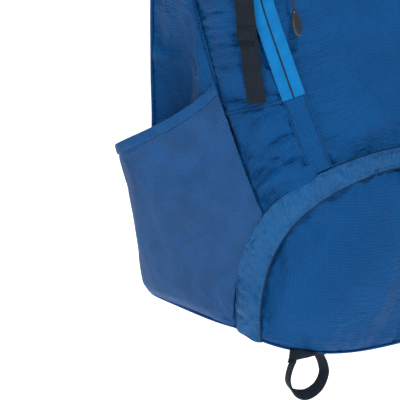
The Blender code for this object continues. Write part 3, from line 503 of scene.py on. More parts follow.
def ripstop(name, colour, pitch=2.9, roughness=0.58, contrast=0.5, gloss=0.09, creases=0.5,
            ripple=1.5, across=False):
    """Thin plain-woven nylon: thicker threads form a fine grid, and the cloth is creased.

    Creases and ripple are the depths of the fine wrinkles in the material; across turns the
    ripples along the cloth's rows.
    """
    g = Graph(name)
    u, v = g.weave()
    grid = g.math("MAXIMUM", g.ramp(g.cycle(u, pitch), 0.72, 1.0),
                  g.ramp(g.cycle(v, pitch), 0.72, 1.0))
    threads = g.times(g.cycle(u, THREAD_PITCH), g.cycle(v, THREAD_PITCH))
    cloudy = g.speckle(38.0)
    worn = g.speckle(2.2, 2.0)
    tone = g.mix(g.ramp(cloudy, 0.3, 0.7), shade(colour, 0.90), shade(colour, 1.08))
    lines = g.mix(g.times(grid, contrast), tone, shade(colour, 1.9))
    tint = g.mix(g.ramp(worn, 0.35, 0.75, 0.0, 0.12), lines, shade(colour, 1.35))
    weave = g.plus(grid, g.times(threads, 0.35))
    crease = g.math("ABSOLUTE", g.math("SUBTRACT", g.speckle(13.0, 2.0), 0.5))
    folds = g.times(crease, creases * 9.0)
    fine = g.times(g.ripples(*((v, u) if across else (u, v)), 11.0, 2.6), ripple)
    folds = g.plus(folds, fine)
    g.bump(g.plus(g.times(weave, 0.12), folds), 1.0)
    rough = g.ramp(g.plus(cloudy, g.times(grid, 0.2)), 0.2, 1.0,
                   roughness + 0.06, roughness - 0.06)
    return g.finish(tint, rough, Sheen_Weight=0.02, Specular_IOR_Level=gloss)


def plain_cloth(name, colour, roughness, pitch):
    """Plain-woven cloth or narrow tape."""
    g = Graph(name)
    u, v = g.weave()
    threads = g.times(g.cycle(u, pitch), g.cycle(v, pitch * 1.15))
    tone = g.mottled(colour, 14.0, 0.88, 1.12)
    tint = g.mix(g.times(threads, 0.35), tone, shade(colour, 1.4))
    g.bump(threads, 0.14)
    rough = g.ramp(g.speckle(6.0), 0.3, 0.7, roughness - 0.05, roughness + 0.08)
    return g.finish(tint, rough, Sheen_Weight=0.02, Specular_IOR_Level=0.14)


def ribbed_webbing(name, colour):
    """Flat woven webbing: short ribs across it, in two staggered rows."""
    g = Graph(name)
    u, v = g.weave()
    row = g.math("FRACT", g.math("DIVIDE", v, RIB_ROWS))
    stagger = g.math("GREATER_THAN", row, 0.5)
    ribs = g.cycle(g.plus(u, g.times(stagger, RIB_PITCH / 2)), RIB_PITCH)
    crown = g.times(ribs, g.ramp(g.cycle(v, RIB_ROWS / 2), 0.0, 0.5, 0.4, 1.0))
    tone = g.mottled(colour, 9.0, 0.8, 1.35, 0.75)
    tint = g.mix(g.times(crown, 0.5), tone, shade(colour, 2.2))
    g.bump(crown, 0.28)
    return g.finish(tint, 0.72, Sheen_Weight=0.02, Specular_IOR_Level=0.16)


def stretch_mesh(name, colour):
    """Fine knitted mesh: small open holes in staggered rows."""
    g = Graph(name)
    u, v = g.weave()
    across = g.plus(u, g.times(v, 0.55))
    down = g.math("SUBTRACT", u, g.times(v, 0.9))
    hole = g.times(g.cycle(across, MESH_PITCH), g.cycle(down, MESH_PITCH))
    hole = g.ramp(hole, 0.30, 0.62)
    tone = g.mottled(colour, 26.0, 0.9, 1.15)
    # Painted shade: the holes are painted darker, standing in for the shaded inside of the pocket
    # seen through them.
    tint = g.mix(g.times(hole, 0.8), tone, shade(colour, 0.45))
    g.bump(g.math("SUBTRACT", 1.0, hole), 0.22)
    alpha = g.ramp(hole, 0.3, 0.9, 1.0, 0.75)
    g.put(alpha, g.shader.inputs["Alpha"])
    return g.finish(tint, 0.7, Sheen_Weight=0.06, Sheen_Roughness=0.4, Specular_IOR_Level=0.2)


def spacer_mesh(name, colour):
    """Thick air mesh with round openings, for the pads."""
    g = Graph(name)
    u, v = g.weave()
    first = g.times(g.cycle(u, SPACER_PITCH), g.cycle(v, SPACER_PITCH))
    second = g.times(g.cycle(u, SPACER_PITCH, 0.5), g.cycle(v, SPACER_PITCH, 0.5))
    holes = g.ramp(g.math("MAXIMUM", first, second), 0.42, 0.62)
    knit = g.times(g.cycle(u, 0.8), g.cycle(v, 0.8))
    # Painted shade: the openings are painted dark, standing in for the shade down inside them.
    tint = g.mix(holes, g.mix(knit, colour, shade(colour, 2.0)), shade(colour, 0.25))
    g.bump(g.math("SUBTRACT", g.times(knit, 0.25), holes), 0.7)
    return g.finish(tint, 0.85, Sheen_Weight=0.2, Specular_IOR_Level=0.3)


def moulded(name, colour, roughness, grain=0.05):
    """Moulded plastic with a fine spark-eroded grain and rubbed patches."""
    g = Graph(name)
    rubbed = g.speckle(7.0)
    tint = g.mix(g.ramp(rubbed, 0.45, 0.8), colour, shade(colour, 1.35))
    rough = g.ramp(rubbed, 0.3, 0.8, roughness + 0.06, roughness - 0.08)
    g.bump(g.speckle(0.5, 2.0), grain)
    return g.finish(tint, rough, Specular_IOR_Level=0.5)


def braided(name, colour):
    """Round braided cord."""
    g = Graph(name)
    parts = g.node("ShaderNodeSeparateXYZ", {0: g.place()}).outputs
    down = g.times(parts[2], 1.0 / MM)
    over = g.times(parts[0], 1.0 / MM)
    left = g.cycle(g.plus(down, over), BRAID_PITCH)
    right = g.cycle(g.math("SUBTRACT", down, over), BRAID_PITCH)
    strand = g.math("MAXIMUM", left, right)
    tint = g.mix(g.ramp(strand, 0.5, 1.0, 0.0, 0.5), colour, shade(colour, 2.6))
    g.bump(strand, 0.25)
    return g.finish(tint, 0.6, Sheen_Weight=0.1, Specular_IOR_Level=0.4)


def brushed_metal(name, colour):
    g = Graph(name)
    drawn = g.node("ShaderNodeMapping", {0: g.place(), "Scale": (900.0, 900.0, 12.0)}).outputs[0]
    inputs = {"Vector": drawn, "Scale": 1.0, "Detail": 3.0}
    streak = g.node("ShaderNodeTexNoise", inputs).outputs[0]
    rough = g.ramp(streak, 0.3, 0.7, 0.24, 0.42)
    g.bump(streak, 0.03)
    return g.finish(g.mix(streak, shade(colour, 0.8), colour), rough, Metallic=1.0)


FINISH = {
    "ripstop": ripstop("ripstop", BLUE),
    "shiny_ripstop": ripstop("shiny_ripstop", LIGHT_BLUE, pitch=2.6, roughness=0.45, contrast=0.30,
                             gloss=0.25, creases=0.8, ripple=2.2, across=True),
    "base_cloth": plain_cloth("base_cloth", NAVY, 0.7, 0.9),
    "pocket_mesh": stretch_mesh("pocket_mesh", MESH_BLUE),
    "elastic_hem": plain_cloth("elastic_hem", HEM_BLUE, 0.55, 0.9),
    "zip_tape": plain_cloth("zip_tape", AZURE, 0.6, 0.8),
    "coil": moulded("zip_coil", shade(NAVY, 0.4), 0.6),
    "thread": plain_cloth("thread", THREAD_BLUE, 0.5, 0.5),
    "dark_thread": plain_cloth("dark_thread", DEEP_BLUE, 0.55, 0.5),
    "zip_slider": moulded("zip_slider", (0.030, 0.036, 0.046), 0.30),
    "cord": braided("cord", BLACK),
    "moulded_grip": moulded("moulded_grip", GREY, 0.16, 0.02),
    "padding": spacer_mesh("padding", (0.022, 0.026, 0.034)),
    "frame_plastic": moulded("frame_plastic", BLACK, 0.45, 0.08),
    "stay_metal": brushed_metal("stay_metal", METAL),
    "webbing": ribbed_webbing("webbing", (0.0065, 0.0115, 0.0200)),
    "buckle_plastic": moulded("buckle_plastic", (0.022, 0.025, 0.030), 0.36),
}


# ---------------------------------------------------------------- pieces


def linked(name, data):
    made = bpy.data.objects.new(name, data)
    bpy.context.scene.collection.objects.link(made)
    return made


def mesh_object(name, points, faces, weave=None):
    """Object from points in millimetres; weave gives each point's cloth coordinates in mm."""
    mesh = bpy.data.meshes.new(name)
    faces = [list(map(int, face)) for face in faces]
    mesh.from_pydata(metres(points).tolist(), [], faces)
    if weave is not None:
        corners = np.zeros(len(mesh.loops), int)
        mesh.loops.foreach_get("vertex_index", corners)
        layer = mesh.uv_layers.new(name="weave")
        layer.data.foreach_set("uv", (np.asarray(weave)[corners] * MM).ravel())
    return linked(name, mesh)


def smooth(made, angle, weld=False):
    """Weld coincident points, face outwards, and shade smooth but for sharp edges."""
    if weld:
        shape = bmesh.new()
        shape.from_mesh(made.data)
        bmesh.ops.remove_doubles(shape, verts=shape.verts, dist=1e-6)
        bmesh.ops.recalc_face_normals(shape, faces=shape.faces)
        shape.to_mesh(made.data)
        shape.free()
    made.data.shade_smooth()
    made.data.set_sharp_from_angle(angle=math.radians(angle))
    return made


def coat(made, finish):
    made.data.materials.clear()
    made.data.materials.append(FINISH[finish])


def add(made, finish, slot, body, *nodes):
    """Give a piece its finish, ride it on its body, and let it stand for CAD nodes; slot is not
    used.
    """
    coat(made, finish)
    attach(made, body)
    if nodes:
        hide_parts(*nodes)
    return made


class Patch:
    """Grid of cloth: points, outward normals and distances along it and from its edges."""

    def __init__(self, points):
        self.points = np.asarray(points, float)
        across, up = np.gradient(self.points, axis=1), np.gradient(self.points, axis=0)
        self.normals = unit(np.cross(across, up))
        self.left, self.right = self.run(1)
        self.low, self.high = self.run(0)
        middle = self.left[:, self.left.shape[1] // 2][:, None]
        self.weave = np.stack([self.left - middle, self.low], -1)
        self.edge = np.minimum(np.minimum(self.left, self.right), np.minimum(self.low, self.high))

    def run(self, axis):
        steps = np.linalg.norm(np.diff(self.points, axis=axis), axis=-1)
        zero = np.zeros_like(steps[:, :1] if axis else steps[:1])
        place = np.cumsum(np.concatenate([zero, steps], axis=axis), axis=axis)
        whole = place[:, -1:] if axis else place[-1:]
        return place, whole - place

    def lift(self, amount):
        self.points = self.points + self.normals * np.asarray(amount)[..., None]

    def row(self, which):
        return self.points[which], self.normals[which]

    def column(self, which):
        return self.points[:, which], self.normals[:, which]


def skin_patch(grid):
    """Patch on the skin from a grid of seam coordinates."""
    return Patch(skin(grid[..., 0], grid[..., 1]))


def closed_mesh(name, patch, inside, angle, weld=False):
    """Closed form: the patch's grid, another grid inside it, and the rim between them."""
    faces, index = quads(*patch.points.shape[:2])
    count = index.size
    points = np.concatenate([patch.points.reshape(-1, 3), inside.reshape(-1, 3)])
    rims = []
    for border in (index[0], index[:, -1], index[-1][::-1], index[::-1, 0]):
        start, end = border[:-1], border[1:]
        rims.append(np.stack([end, start, start + count, end + count], -1))
    faces = np.concatenate([faces, faces[:, ::-1] + count, *rims])
    weave = np.concatenate([patch.weave.reshape(-1, 2)] * 2)
    return smooth(mesh_object(name, points, faces, weave), angle, weld)


def shell_mesh(name, patch, thickness, weld=False):
    """Thin cloth whose inner face lies one thickness under its outer face."""
    return closed_mesh(name, patch, patch.points - patch.normals * thickness, 50.0, weld)


def cloth_steps(length, step=GRID_STEP):
    return max(int(round(length / step)), 2)


SETTLE_FRAMES = 20
SETTLING = {
    "quality": 5,
    "mass": 0.15,
    "tension_stiffness": 20.0,
    "compression_stiffness": 20.0,
    "shear_stiffness": 8.0,
    "vertex_group_mass": "pins",
    "use_pressure": True,
}
# How each cloth settles: the share by which its cut is too large, the pressure behind it, the
# farthest that a point may move and, where it isn't the usual one, its stiffness in bending.
SIDE_SETTLES = (0.012, 1.0, 5.0)
GUSSET_SETTLES = (0.02, 1.5, 3.0)
FRONT_SETTLES = (0.012, 1.5, 5.0)
COMPARTMENT_SETTLES = (0.010, 2.0, 6.0)
BAND_SETTLES = (0.030, 1.5, 3.0, 0.15)
MESH_SETTLES = (0.004, 1.0, 1.2)
LID_SETTLES = (0.012, 2.0, 6.0)


def settle(patch, growth, pressure, cap, bend=0.5):
    """Let cloth find its own wrinkles: it is pinned all round, cut too large and blown out."""
    faces, index = quads(*patch.points.shape[:2])
    made = mesh_object("settling", patch.points.reshape(-1, 3), faces)
    pins = made.vertex_groups.new(name="pins")
    rim = np.unique(np.concatenate([index[0], index[-1], index[:, 0], index[:, -1]]))
    pins.add([int(i) for i in rim], 1.0, "REPLACE")
    cloth = made.modifiers.new("cloth", "CLOTH")
    settings = {**SETTLING, "bending_stiffness": bend, "shrink_min": -growth,
                "shrink_max": -growth, "uniform_pressure_force": pressure}
    for key, value in settings.items():
        setattr(cloth.settings, key, value)
    cloth.settings.effector_weights.gravity = 0.0
    cloth.collision_settings.use_collision = False
    scene = bpy.context.scene
    cloth.point_cache.frame_end = SETTLE_FRAMES
    for number in range(1, SETTLE_FRAMES + 1):
        scene.frame_set(number)
    result = made.evaluated_get(bpy.context.evaluated_depsgraph_get()).to_mesh()
    moved = np.zeros(index.size * 3)
    result.vertices.foreach_get("co", moved)
    made.evaluated_get(bpy.context.evaluated_depsgraph_get()).to_mesh_clear()
    scene.frame_set(1)
    shape = made.data
    bpy.data.objects.remove(made, do_unlink=True)
    bpy.data.meshes.remove(shape)
    moved = moved.reshape(patch.points.shape) / MM + HANG_POINT
    shift = moved - patch.points
    far = np.linalg.norm(shift, axis=-1, keepdims=True)
    patch.points = patch.points + shift * np.minimum(1.0, cap / np.maximum(far, 1e-6))
    across, up = np.gradient(patch.points, axis=1), np.gradient(patch.points, axis=0)
    patch.normals = unit(np.cross(across, up))


def stitch_mesh(name, rows, finish="thread", body="pack", slot="ripstop", stitch=STITCH):
    """Rows of thread stitches. A row is a line of points and the cloth's normals along it."""
    pitch, length, radius = stitch
    points, faces, weave = [], [], []
    around = np.linspace(0.0, 2 * np.pi, 6, endpoint=False)
    rings = ((-0.5, 0.35, -0.25), (-0.32, 1.0, 0.15), (0.32, 1.0, 0.15), (0.5, 0.35, -0.25))
    count = 0
    for path, normals in rows:
        both, _ = resample(np.concatenate([path, normals], -1), pitch)
        middle = (both[1:, :3] + both[:-1, :3]) / 2
        along = unit(both[1:, :3] - both[:-1, :3])
        out = unit((both[1:, 3:] + both[:-1, 3:]) / 2)
        side = unit(np.cross(along, out))
        stitches = len(middle)
        grid = []
        for reach, size, lift in rings:
            centre = middle + along * (reach * length) + out * (lift * radius)
            grid.append(centre[:, None] + circles(side, out, around) * (radius * size))
        grid = np.stack(grid, 1)
        points.append(grid.reshape(-1, 3))
        each = len(rings) * len(around)
        weave.append(np.zeros((stitches * each, 2)))
        start = count + each * np.arange(stitches)[:, None]
        for ring in range(len(rings) - 1):
            k = np.arange(len(around))
            following = (k + 1) % len(around)
            low, high = ring * len(around), (ring + 1) * len(around)
            quad = np.stack([low + k, low + following, high + following, high + k], -1)
            faces += (start[:, :, None] + quad[None]).reshape(-1, 4).tolist()
        for cap in (np.arange(len(around))[::-1], each - len(around) + np.arange(len(around))):
            faces += (start + cap[None]).tolist()
        count += stitches * each
    made = mesh_object(name, np.concatenate(points), faces, np.concatenate(weave))
    return add(smooth(made, 60.0), finish, slot, body)


def offset_row(path, normals, sideways, lift):
    """A line moved sideways on the cloth, to the right as it runs, and lifted off it."""
    along = unit(np.gradient(np.asarray(path), axis=0))
    side = unit(np.cross(along, normals))
    return path + side * sideways + normals * lift, normals


def edge_rows(patch, inset):
    """Stitch rows inside a patch's first and last rows."""
    return [offset_row(*patch.row(0), -inset, 0.1), offset_row(*patch.row(-1), inset, 0.1)]


def skin_row(curve, samples, sideways, lift):
    """A stitch row on the skin along a curve of seam coordinates."""
    at = curve(np.linspace(0.0, 1.0, samples + 1))
    path = skin(at[:, 0], at[:, 1])
    step = 0.2
    turned = skin(at[:, 0] + step, at[:, 1])
    raised = skin(at[:, 0], np.minimum(at[:, 1] + 1.0, TOP_Z + 1.0))
    normals = unit(np.cross(turned - path, raised - path))
    return offset_row(path, normals, sideways, lift)


def skin_strip(curve, samples, half_width, lift, crown, across=6, shift=0.0):
    """Patch of a strip laid on the skin along a curve of seam coordinates."""
    base, normals = skin_row(curve, samples, 0.0, 0.0)
    along = unit(np.gradient(base, axis=0))
    side = unit(np.cross(along, normals))
    rows = []
    for share in np.linspace(1.0, -1.0, across + 1):
        rise = lift + crown * (1.0 - share**2)
        rows.append(base + side * (share * half_width + shift) + normals * rise)
    return Patch(np.stack(rows, 0))


OUTLINE = (
    (-0.500, 0.0), (-0.485, 0.38), (-0.445, 0.5), (-0.25, 0.46), (0.0, 0.47), (0.25, 0.46),
    (0.445, 0.5), (0.485, 0.38), (0.500, 0.0), (0.485, -0.38), (0.445, -0.5), (0.25, -0.46),
    (0.0, -0.47), (-0.25, -0.46), (-0.445, -0.5), (-0.485, -0.38),
)


def sweep_frames(controls, samples):
    """Centre, across, normal, width and thickness at stations along a strap's controls."""
    stations = smooth_path(controls, samples)
    centre = stations[:, :3]
    tangent = unit(np.gradient(centre, axis=0))
    across = stations[:, 3:6]
    across = unit(across - (across * tangent).sum(-1, keepdims=True) * tangent)
    normal = np.cross(tangent, across)
    return centre, across, normal, stations[:, 6], stations[:, 7]


def strap(name, controls, samples, outline=OUTLINE):
    """Swept band with filled ends, its weave coordinates along and round it."""
    centre, across, normal, width, depth = sweep_frames(controls, samples)
    outline = np.array(outline)
    ring = np.concatenate([outline, outline[:1]])
    points = (
        centre[:, None]
        + across[:, None] * (ring[:, 0][None, :, None] * width[:, None, None])
        + normal[:, None] * (ring[:, 1][None, :, None] * depth[:, None, None])
    )
    along, around = distances(centre), distances(points[len(points) // 2])
    weave = np.stack(np.broadcast_arrays(along[:, None], around[None]), -1)
    rows, columns = points.shape[:2]
    index = np.arange(rows * columns).reshape(rows, columns)
    faces = np.stack([index[:-1, :-1], index[1:, :-1], index[1:, 1:], index[:-1, 1:]], -1)
    faces = faces.reshape(-1, 4).tolist() + [index[0, :-1].tolist(), index[-1, :-1][::-1].tolist()]
    made = mesh_object(name, points.reshape(-1, 3), faces, weave.reshape(-1, 2))
    return smooth(made, 55.0, weld=True)


def webbing(name, controls, samples, body, *nodes):
    """A strap of flat webbing."""
    add(strap(name, controls, samples), "webbing", "webbing", body, *nodes)


# ---------------------------------------------------------------- cloth of the main body


DENT_TOP_Z = 330.0


def cloth_panel(name, patch, wrinkles, node, finish="ripstop", dip=0.8, body="pack"):
    """Sewn panel: its wrinkles, and its edges drawn down into the seams."""
    height = wrinkles(patch) * (1.0 - near(patch.edge, 3.0))
    # Next to a seam a crest stays low, so it doesn't come through the tape or band on it.
    height = np.minimum(height, 0.5 + 0.2 * patch.edge)
    patch.lift(height - dip * near(patch.edge, 3.2))
    made = shell_mesh(name, patch, CLOTH)
    add(made, finish, finish, body, node)


def sewn_panel(name, grid, node, wrinkles, settling=None, dent=0.0):
    """Panel on the skin, from its grid of seam coordinates."""
    patch = skin_patch(grid)
    if dent:
        patch = dented(patch, dent)
    if settling:
        settle(patch, *settling)
    cloth_panel(name, patch, wrinkles, node)


def cross_puckers(patch, seed, pitch, height, reach, rest):
    """Ridges that run away from the upright seams at a panel's sides.

    They are height high and a pitch apart, die away over reach, and keep the share rest of
    their height in the middle of the panel.
    """
    slant = patch.low + 0.10 * patch.left
    share = rest + near(patch.left, reach) + near(patch.right, reach)
    fine = noise(slant / pitch, patch.left / 34.0, seed)
    broad = noise(slant / (2.7 * pitch), patch.left / 60.0, seed + 1)
    return height * np.minimum(share, 1.0) * (0.6 * fine + 0.7 * broad)


def end_puckers(patch, seed, pitch, height, reach=14.0):
    """Ridges that run away from the level seams at a panel's ends."""
    share = near(patch.low, reach) + near(patch.high, reach)
    return height * share * noise(patch.left / pitch, patch.low / 22.0, seed)


def dented(patch, side):
    """Push the side in where a bottle stands."""
    y, z = patch.points[..., 1], patch.points[..., 2]
    across = np.minimum(np.abs(y - BOTTLE_Y) / BOTTLE_HALF, 1.0)
    low = np.clip((z - BASE_EDGE_Z) / 40.0, 0.0, 1.0)
    high = np.clip((DENT_TOP_Z - z) / 90.0, 0.0, 1.0)
    depth = BOTTLE_DENT * np.cos(np.pi / 2 * across) ** 2 * low * high
    points = patch.points.copy()
    points[..., 0] -= side * depth
    return Patch(points)


ZIP_FOOT = arch_meets(ARCH_SEAM, ZIP_LINE)
SEAM_FOOT = arch_meets(ARCH_SEAM, SIDE_SEAM)


def side_grid():
    """Seam coordinates of the side panel, from the seam in front of it to the rear seam."""
    foot = arch(ARCH_SEAM, SEAM_FOOT)
    t = np.linspace(SEAM_FOOT, 1.0, 400)
    lower = arch(ARCH_SEAM, t)[::-1]
    rows = cloth_steps(TOP_Z - BASE_EDGE_Z)
    z = np.linspace(BASE_EDGE_Z, TOP_Z, rows + 1)
    front = np.where(z < foot[1], np.interp(z, lower[:, 1], lower[:, 0]), seam_angle(SIDE_SEAM, z))
    share = np.linspace(0.0, 1.0, 62)
    angle = front[:, None] + (REAR_SEAM_ANGLE - front)[:, None] * share
    return np.stack([angle, np.broadcast_to(z[:, None], angle.shape)], -1)


def make_side_cloth():
    """Side panels, and the upper and lower gussets in front of them."""
    low_rear, low_front = GUSSET_SEAM
    lower = coons(
        lambda t: arch(ARCH_SEAM, ZIP_FOOT + (SEAM_FOOT - ZIP_FOOT) * t),
        line(arch(ARCH_SEAM, SEAM_FOOT), on_line(SIDE_SEAM, low_rear)),
        line(on_line(ZIP_LINE, low_front), on_line(SIDE_SEAM, low_rear)),
        line(arch(ARCH_SEAM, ZIP_FOOT), on_line(ZIP_LINE, low_front)),
        34, 34,
    )
    upper = coons(
        line(on_line(ZIP_LINE, low_front), on_line(SIDE_SEAM, low_rear)),
        line(on_line(SIDE_SEAM, low_rear), on_line(SIDE_SEAM, TOP_Z)),
        line(on_line(ZIP_LINE, TOP_Z), on_line(SIDE_SEAM, TOP_Z)),
        along_seam(ZIP_LINE, low_front, TOP_Z),
        30, 82,
    )
    for k, (word, side) in enumerate(SIDES):
        seed = 10 + 20 * k
        sewn_panel("side_cloth_" + word, mirrored(side_grid(), side), "side_panel_" + word,
                   lambda p: (2.0 * noise(p.low / 12.0, p.left / 70.0, seed)
                              * (0.35 + near(p.left, 40.0))
                              + 2.2 * noise(p.left / 28.0, p.low / 50.0, seed + 1)),
                   SIDE_SETTLES, side)
        sewn_panel("lower_gusset_cloth_" + word, mirrored(lower, side), "lower_gusset_" + word,
                   lambda p: cross_puckers(p, seed + 3, 4.4, 7.5, 30.0, 0.35), GUSSET_SETTLES)
        sewn_panel("gusset_cloth_" + word, mirrored(upper, side), "gusset_" + word,
                   lambda p: cross_puckers(p, seed + 6, 4.4, 6.0, 24.0, 0.3), GUSSET_SETTLES)


def make_front_and_back():
    """Front panel below the stash pocket's zip, the panel above it, and the back panel."""
    middle = float(seam_angle(ZIP_LINE, POCKET_ZIP_Z))
    foot = arch(ARCH_SEAM, ZIP_FOOT)
    front = coons(
        lambda t: arch(ARCH_SEAM, ZIP_FOOT * (2 * t - 1)),
        along_seam(ZIP_LINE, foot[1], POCKET_ZIP_Z),
        line((-middle, POCKET_ZIP_Z), (middle, POCKET_ZIP_Z)),
        along_seam(ZIP_LINE, foot[1], POCKET_ZIP_Z, -1.0),
        84, 72,
    )
    sewn_panel("front_cloth", front, "front_panel", lambda p: (
        cross_puckers(p, 61, 3.8, 6.0, 26.0, 0.06) + end_puckers(p, 63, 6.0, 3.4, 20.0)
        + 2.2 * noise(p.left / 60.0, p.low / 34.0, 65)), FRONT_SETTLES)
    top = float(seam_angle(ZIP_LINE, TOP_Z))
    front_top = four_sided((-middle, POCKET_ZIP_Z), (middle, POCKET_ZIP_Z), (top, TOP_Z),
                           (-top, TOP_Z), 84, 28)
    sewn_panel("front_upper_cloth", front_top, "front_upper_panel", lambda p: (
        cross_puckers(p, 71, 3.6, 0.6, 16.0, 0.1) + end_puckers(p, 73, 5.0, 0.5)))

    far_angle = 360.0 - REAR_SEAM_ANGLE
    rear = four_sided((REAR_SEAM_ANGLE, BASE_EDGE_Z), (far_angle, BASE_EDGE_Z),
                      (far_angle, TOP_Z), (REAR_SEAM_ANGLE, TOP_Z), 90, 110)
    sewn_panel("back_cloth", rear, "back_panel",
               lambda p: cross_puckers(p, 81, 4.0, 0.5, 14.0, 0.1) - 0.4)


def make_compartment():
    """Bulging bottom compartment."""
    corner = 0.62
    half_angle = ARCH_SEAM[0]

    def base_line(t):
        angle = half_angle * (2 * t - 1)
        return np.stack([angle, edge_z(angle)], -1)

    grid = coons(
        base_line,
        lambda t: arch(ARCH_SEAM, 1.0 + (corner - 1.0) * t),
        lambda t: arch(ARCH_SEAM, corner * (2 * t - 1)),
        lambda t: arch(ARCH_SEAM, -1.0 + (1.0 - corner) * t),
        116, 74,
    )
    sewn_panel("compartment_cloth", grid, "compartment_panel", lambda p: (
        cross_puckers(p, 91, 4.2, 4.2, 20.0, 0.0) + end_puckers(p, 93, 5.0, 4.2, 20.0)
        + 3.4 * noise(p.left / 42.0, p.low / 120.0, 95)
        + 1.3 * noise(p.left / 17.0, p.low / 45.0, 96)), COMPARTMENT_SETTLES)


def make_arch_band():
    """Band of shiny cloth that covers the compartment's zip."""
    along = np.linspace(-1.0, 1.0, 321)
    inner, outer = arch(ARCH_INNER, along), arch(ARCH_OUTER, along)
    across = np.linspace(0.0, 1.0, 13)[:, None]
    place = inner[None] + (outer - inner)[None] * across[..., None]
    crown = np.sin(np.pi * np.clip(across, 0.0, 1.0)) ** 0.6
    rise = 3.4 * (1.0 - across) ** 0.5 + 0.9 * across + 2.4 * crown
    base = skin_patch(place)
    patch = skin_patch(place)
    patch.lift(np.broadcast_to(rise, patch.left.shape))
    patch = Patch(patch.points)
    settle(patch, *BAND_SETTLES)
    x, y = patch.left, patch.low
    fold = crown * (
        2.4 * noise((x + 0.9 * y) / 15.0, (y - 0.3 * x) / 30.0, 101)
        + 1.5 * noise((x - 0.7 * y) / 10.0, y / 24.0, 102)
        + 1.1 * noise(x / 40.0, y / 8.0, 103)
        + 2.6 * noise(x / 4.6, y / 26.0, 104)
    )
    patch.lift(fold)
    # The folds stay clear of the zip under the band.
    over = ((patch.points - base.points) * base.normals).sum(-1)
    patch.lift(np.maximum(BAND_CLEARANCE * crown - over, 0.0))
    made = shell_mesh("arch_band", patch, 1.2)
    add(made, "shiny_ripstop", "shiny_ripstop", "pack", "arch_flap")
    rows = [offset_row(*patch.row(0), -2.2, 0.25), offset_row(*patch.row(-1), 2.0, 0.25),
            offset_row(*patch.row(-1), 3.8, 0.25)]
    stitch_mesh("arch_band_stitches", rows, "thread", "pack", "shiny_ripstop")
    edge_tube("arch_band_piping", skin_row(lambda t: arch(ARCH_OUTER, 2 * t - 1), 300, -0.6, 0.4),
              0.6, "dark_thread", "shiny_ripstop")
    # Painted shadow: a dark tube tucked under the band's inner edge stands in for the shadow in
    # the gap over the zip.
    edge_tube("arch_band_painted_shadow_line", offset_row(*patch.row(0), 0.3, -0.5), 0.8, "dark_thread",
              "shiny_ripstop")


def tube_mesh(name, points, place, around, finish, slot, body):
    """Closed tube from rings of points whose last point repeats the first."""
    faces, index = quads(*points.shape[:2])
    faces = faces.tolist() + [index[0, :-1].tolist(), index[-1, :-1].tolist()]
    weave = np.stack(np.broadcast_arrays(place[:, None], around[None]), -1)
    made = mesh_object(name, points.reshape(-1, 3), faces, weave.reshape(-1, 2))
    add(smooth(made, 60.0, weld=True), finish, slot, body)


def edge_tube(name, row, radius, finish, slot, body="pack"):
    """Round piping along a line of points."""
    centre, out, side, place = line_axes(row, TUBE_STEP)
    turn = np.linspace(0.0, 2 * np.pi, 9)
    points = centre[:, None] + radius * circles(side, out, turn)
    tube_mesh(name, points, place, radius * turn, finish, slot, body)


def seam_band(name, curve, samples, half_width, seed):
    """Narrow raised band over a seam, with a row of stitches along each edge."""
    patch = skin_strip(curve, samples, half_width, SEAM_BAND_LIFT, 0.35)
    patch.lift(0.22 * noise(patch.left / 3.4, patch.low / 9.0, seed))
    add(shell_mesh(name, patch, CLOTH), "ripstop", "ripstop", "pack")
    stitch_mesh(name + "_stitches", edge_rows(patch, 1.1), "dark_thread")


SEAM_BAND_LIFT = 1.1
SIDE_SEAM_HALF = 1.8
CROSS_SEAM_HALF = 2.2
GARAGE_HALF = 10.6


def make_seams():
    """Bands over the seams, the garages below the side zips, and piping."""
    low_rear, low_front = GUSSET_SEAM
    zip_foot_z = float(arch(ARCH_OUTER, ZIP_FOOT)[1])
    for k, (word, side) in enumerate(SIDES):
        seed = 200 + 30 * k
        curve = along_seam(SIDE_SEAM, POCKET_FRONT_Z + 2.0, TOP_Z, side)
        seam_band("side_seam_" + word, curve, 90, SIDE_SEAM_HALF, seed)
        cross = line(on_line(ZIP_LINE, low_front), on_line(SIDE_SEAM, low_rear))
        seam_band("cross_seam_" + word, lambda t, s=side: cross(t) * (s, 1.0), 60,
                  CROSS_SEAM_HALF, seed + 1)
        garage = along_seam(ZIP_LINE, zip_foot_z + 3.0, SIDE_ZIP_LOW_Z + 1.0, side)
        patch = skin_strip(garage, 36, GARAGE_HALF, 1.7, 0.5, 10)
        patch.lift(0.55 * noise(patch.left / 3.6, patch.low / 16.0, seed + 2)
                   + 0.35 * noise(patch.left / 9.0, patch.low / 7.0, seed + 3))
        made = shell_mesh("zip_garage_" + word, patch, 1.0)
        add(made, "ripstop", "ripstop", "pack")
        stitch_mesh("zip_garage_stitches_" + word, edge_rows(patch, 1.5), "dark_thread",
                    stitch=COARSE_STITCH)
        rear = line((side * REAR_SEAM_ANGLE, BASE_EDGE_Z), (side * REAR_SEAM_ANGLE, TOP_Z))
        edge_tube("rear_piping_" + word, skin_row(rear, 160, 0.0, 0.6), 1.7, "ripstop", "ripstop")

    def rim(t):
        angle = -180.0 + 360.0 * np.asarray(t, float)
        return np.stack([angle, edge_z(angle)], -1)

    edge_tube("base_piping", skin_row(rim, 420, 0.0, 0.2), 1.2, "ripstop", "base_cloth")


def disc(rim, columns, rows, profile, centre_y=CENTRE_Y):
    """Grid that fills an oval: rim(angle) gives its edge, profile(share, angle) its height."""
    a = np.linspace(-1.0, 1.0, columns + 1)[None] + np.zeros((rows + 1, 1))
    b = np.linspace(-1.0, 1.0, rows + 1)[:, None] + np.zeros((1, columns + 1))
    share = np.maximum(np.abs(a), np.abs(b))
    angle = np.degrees(np.arctan2(a, -b))
    edge = rim(angle)
    centre = np.array((0.0, centre_y))
    flat = centre + (edge[..., :2] - centre) * share[..., None]
    return np.concatenate([flat, profile(share, angle)[..., None]], -1)


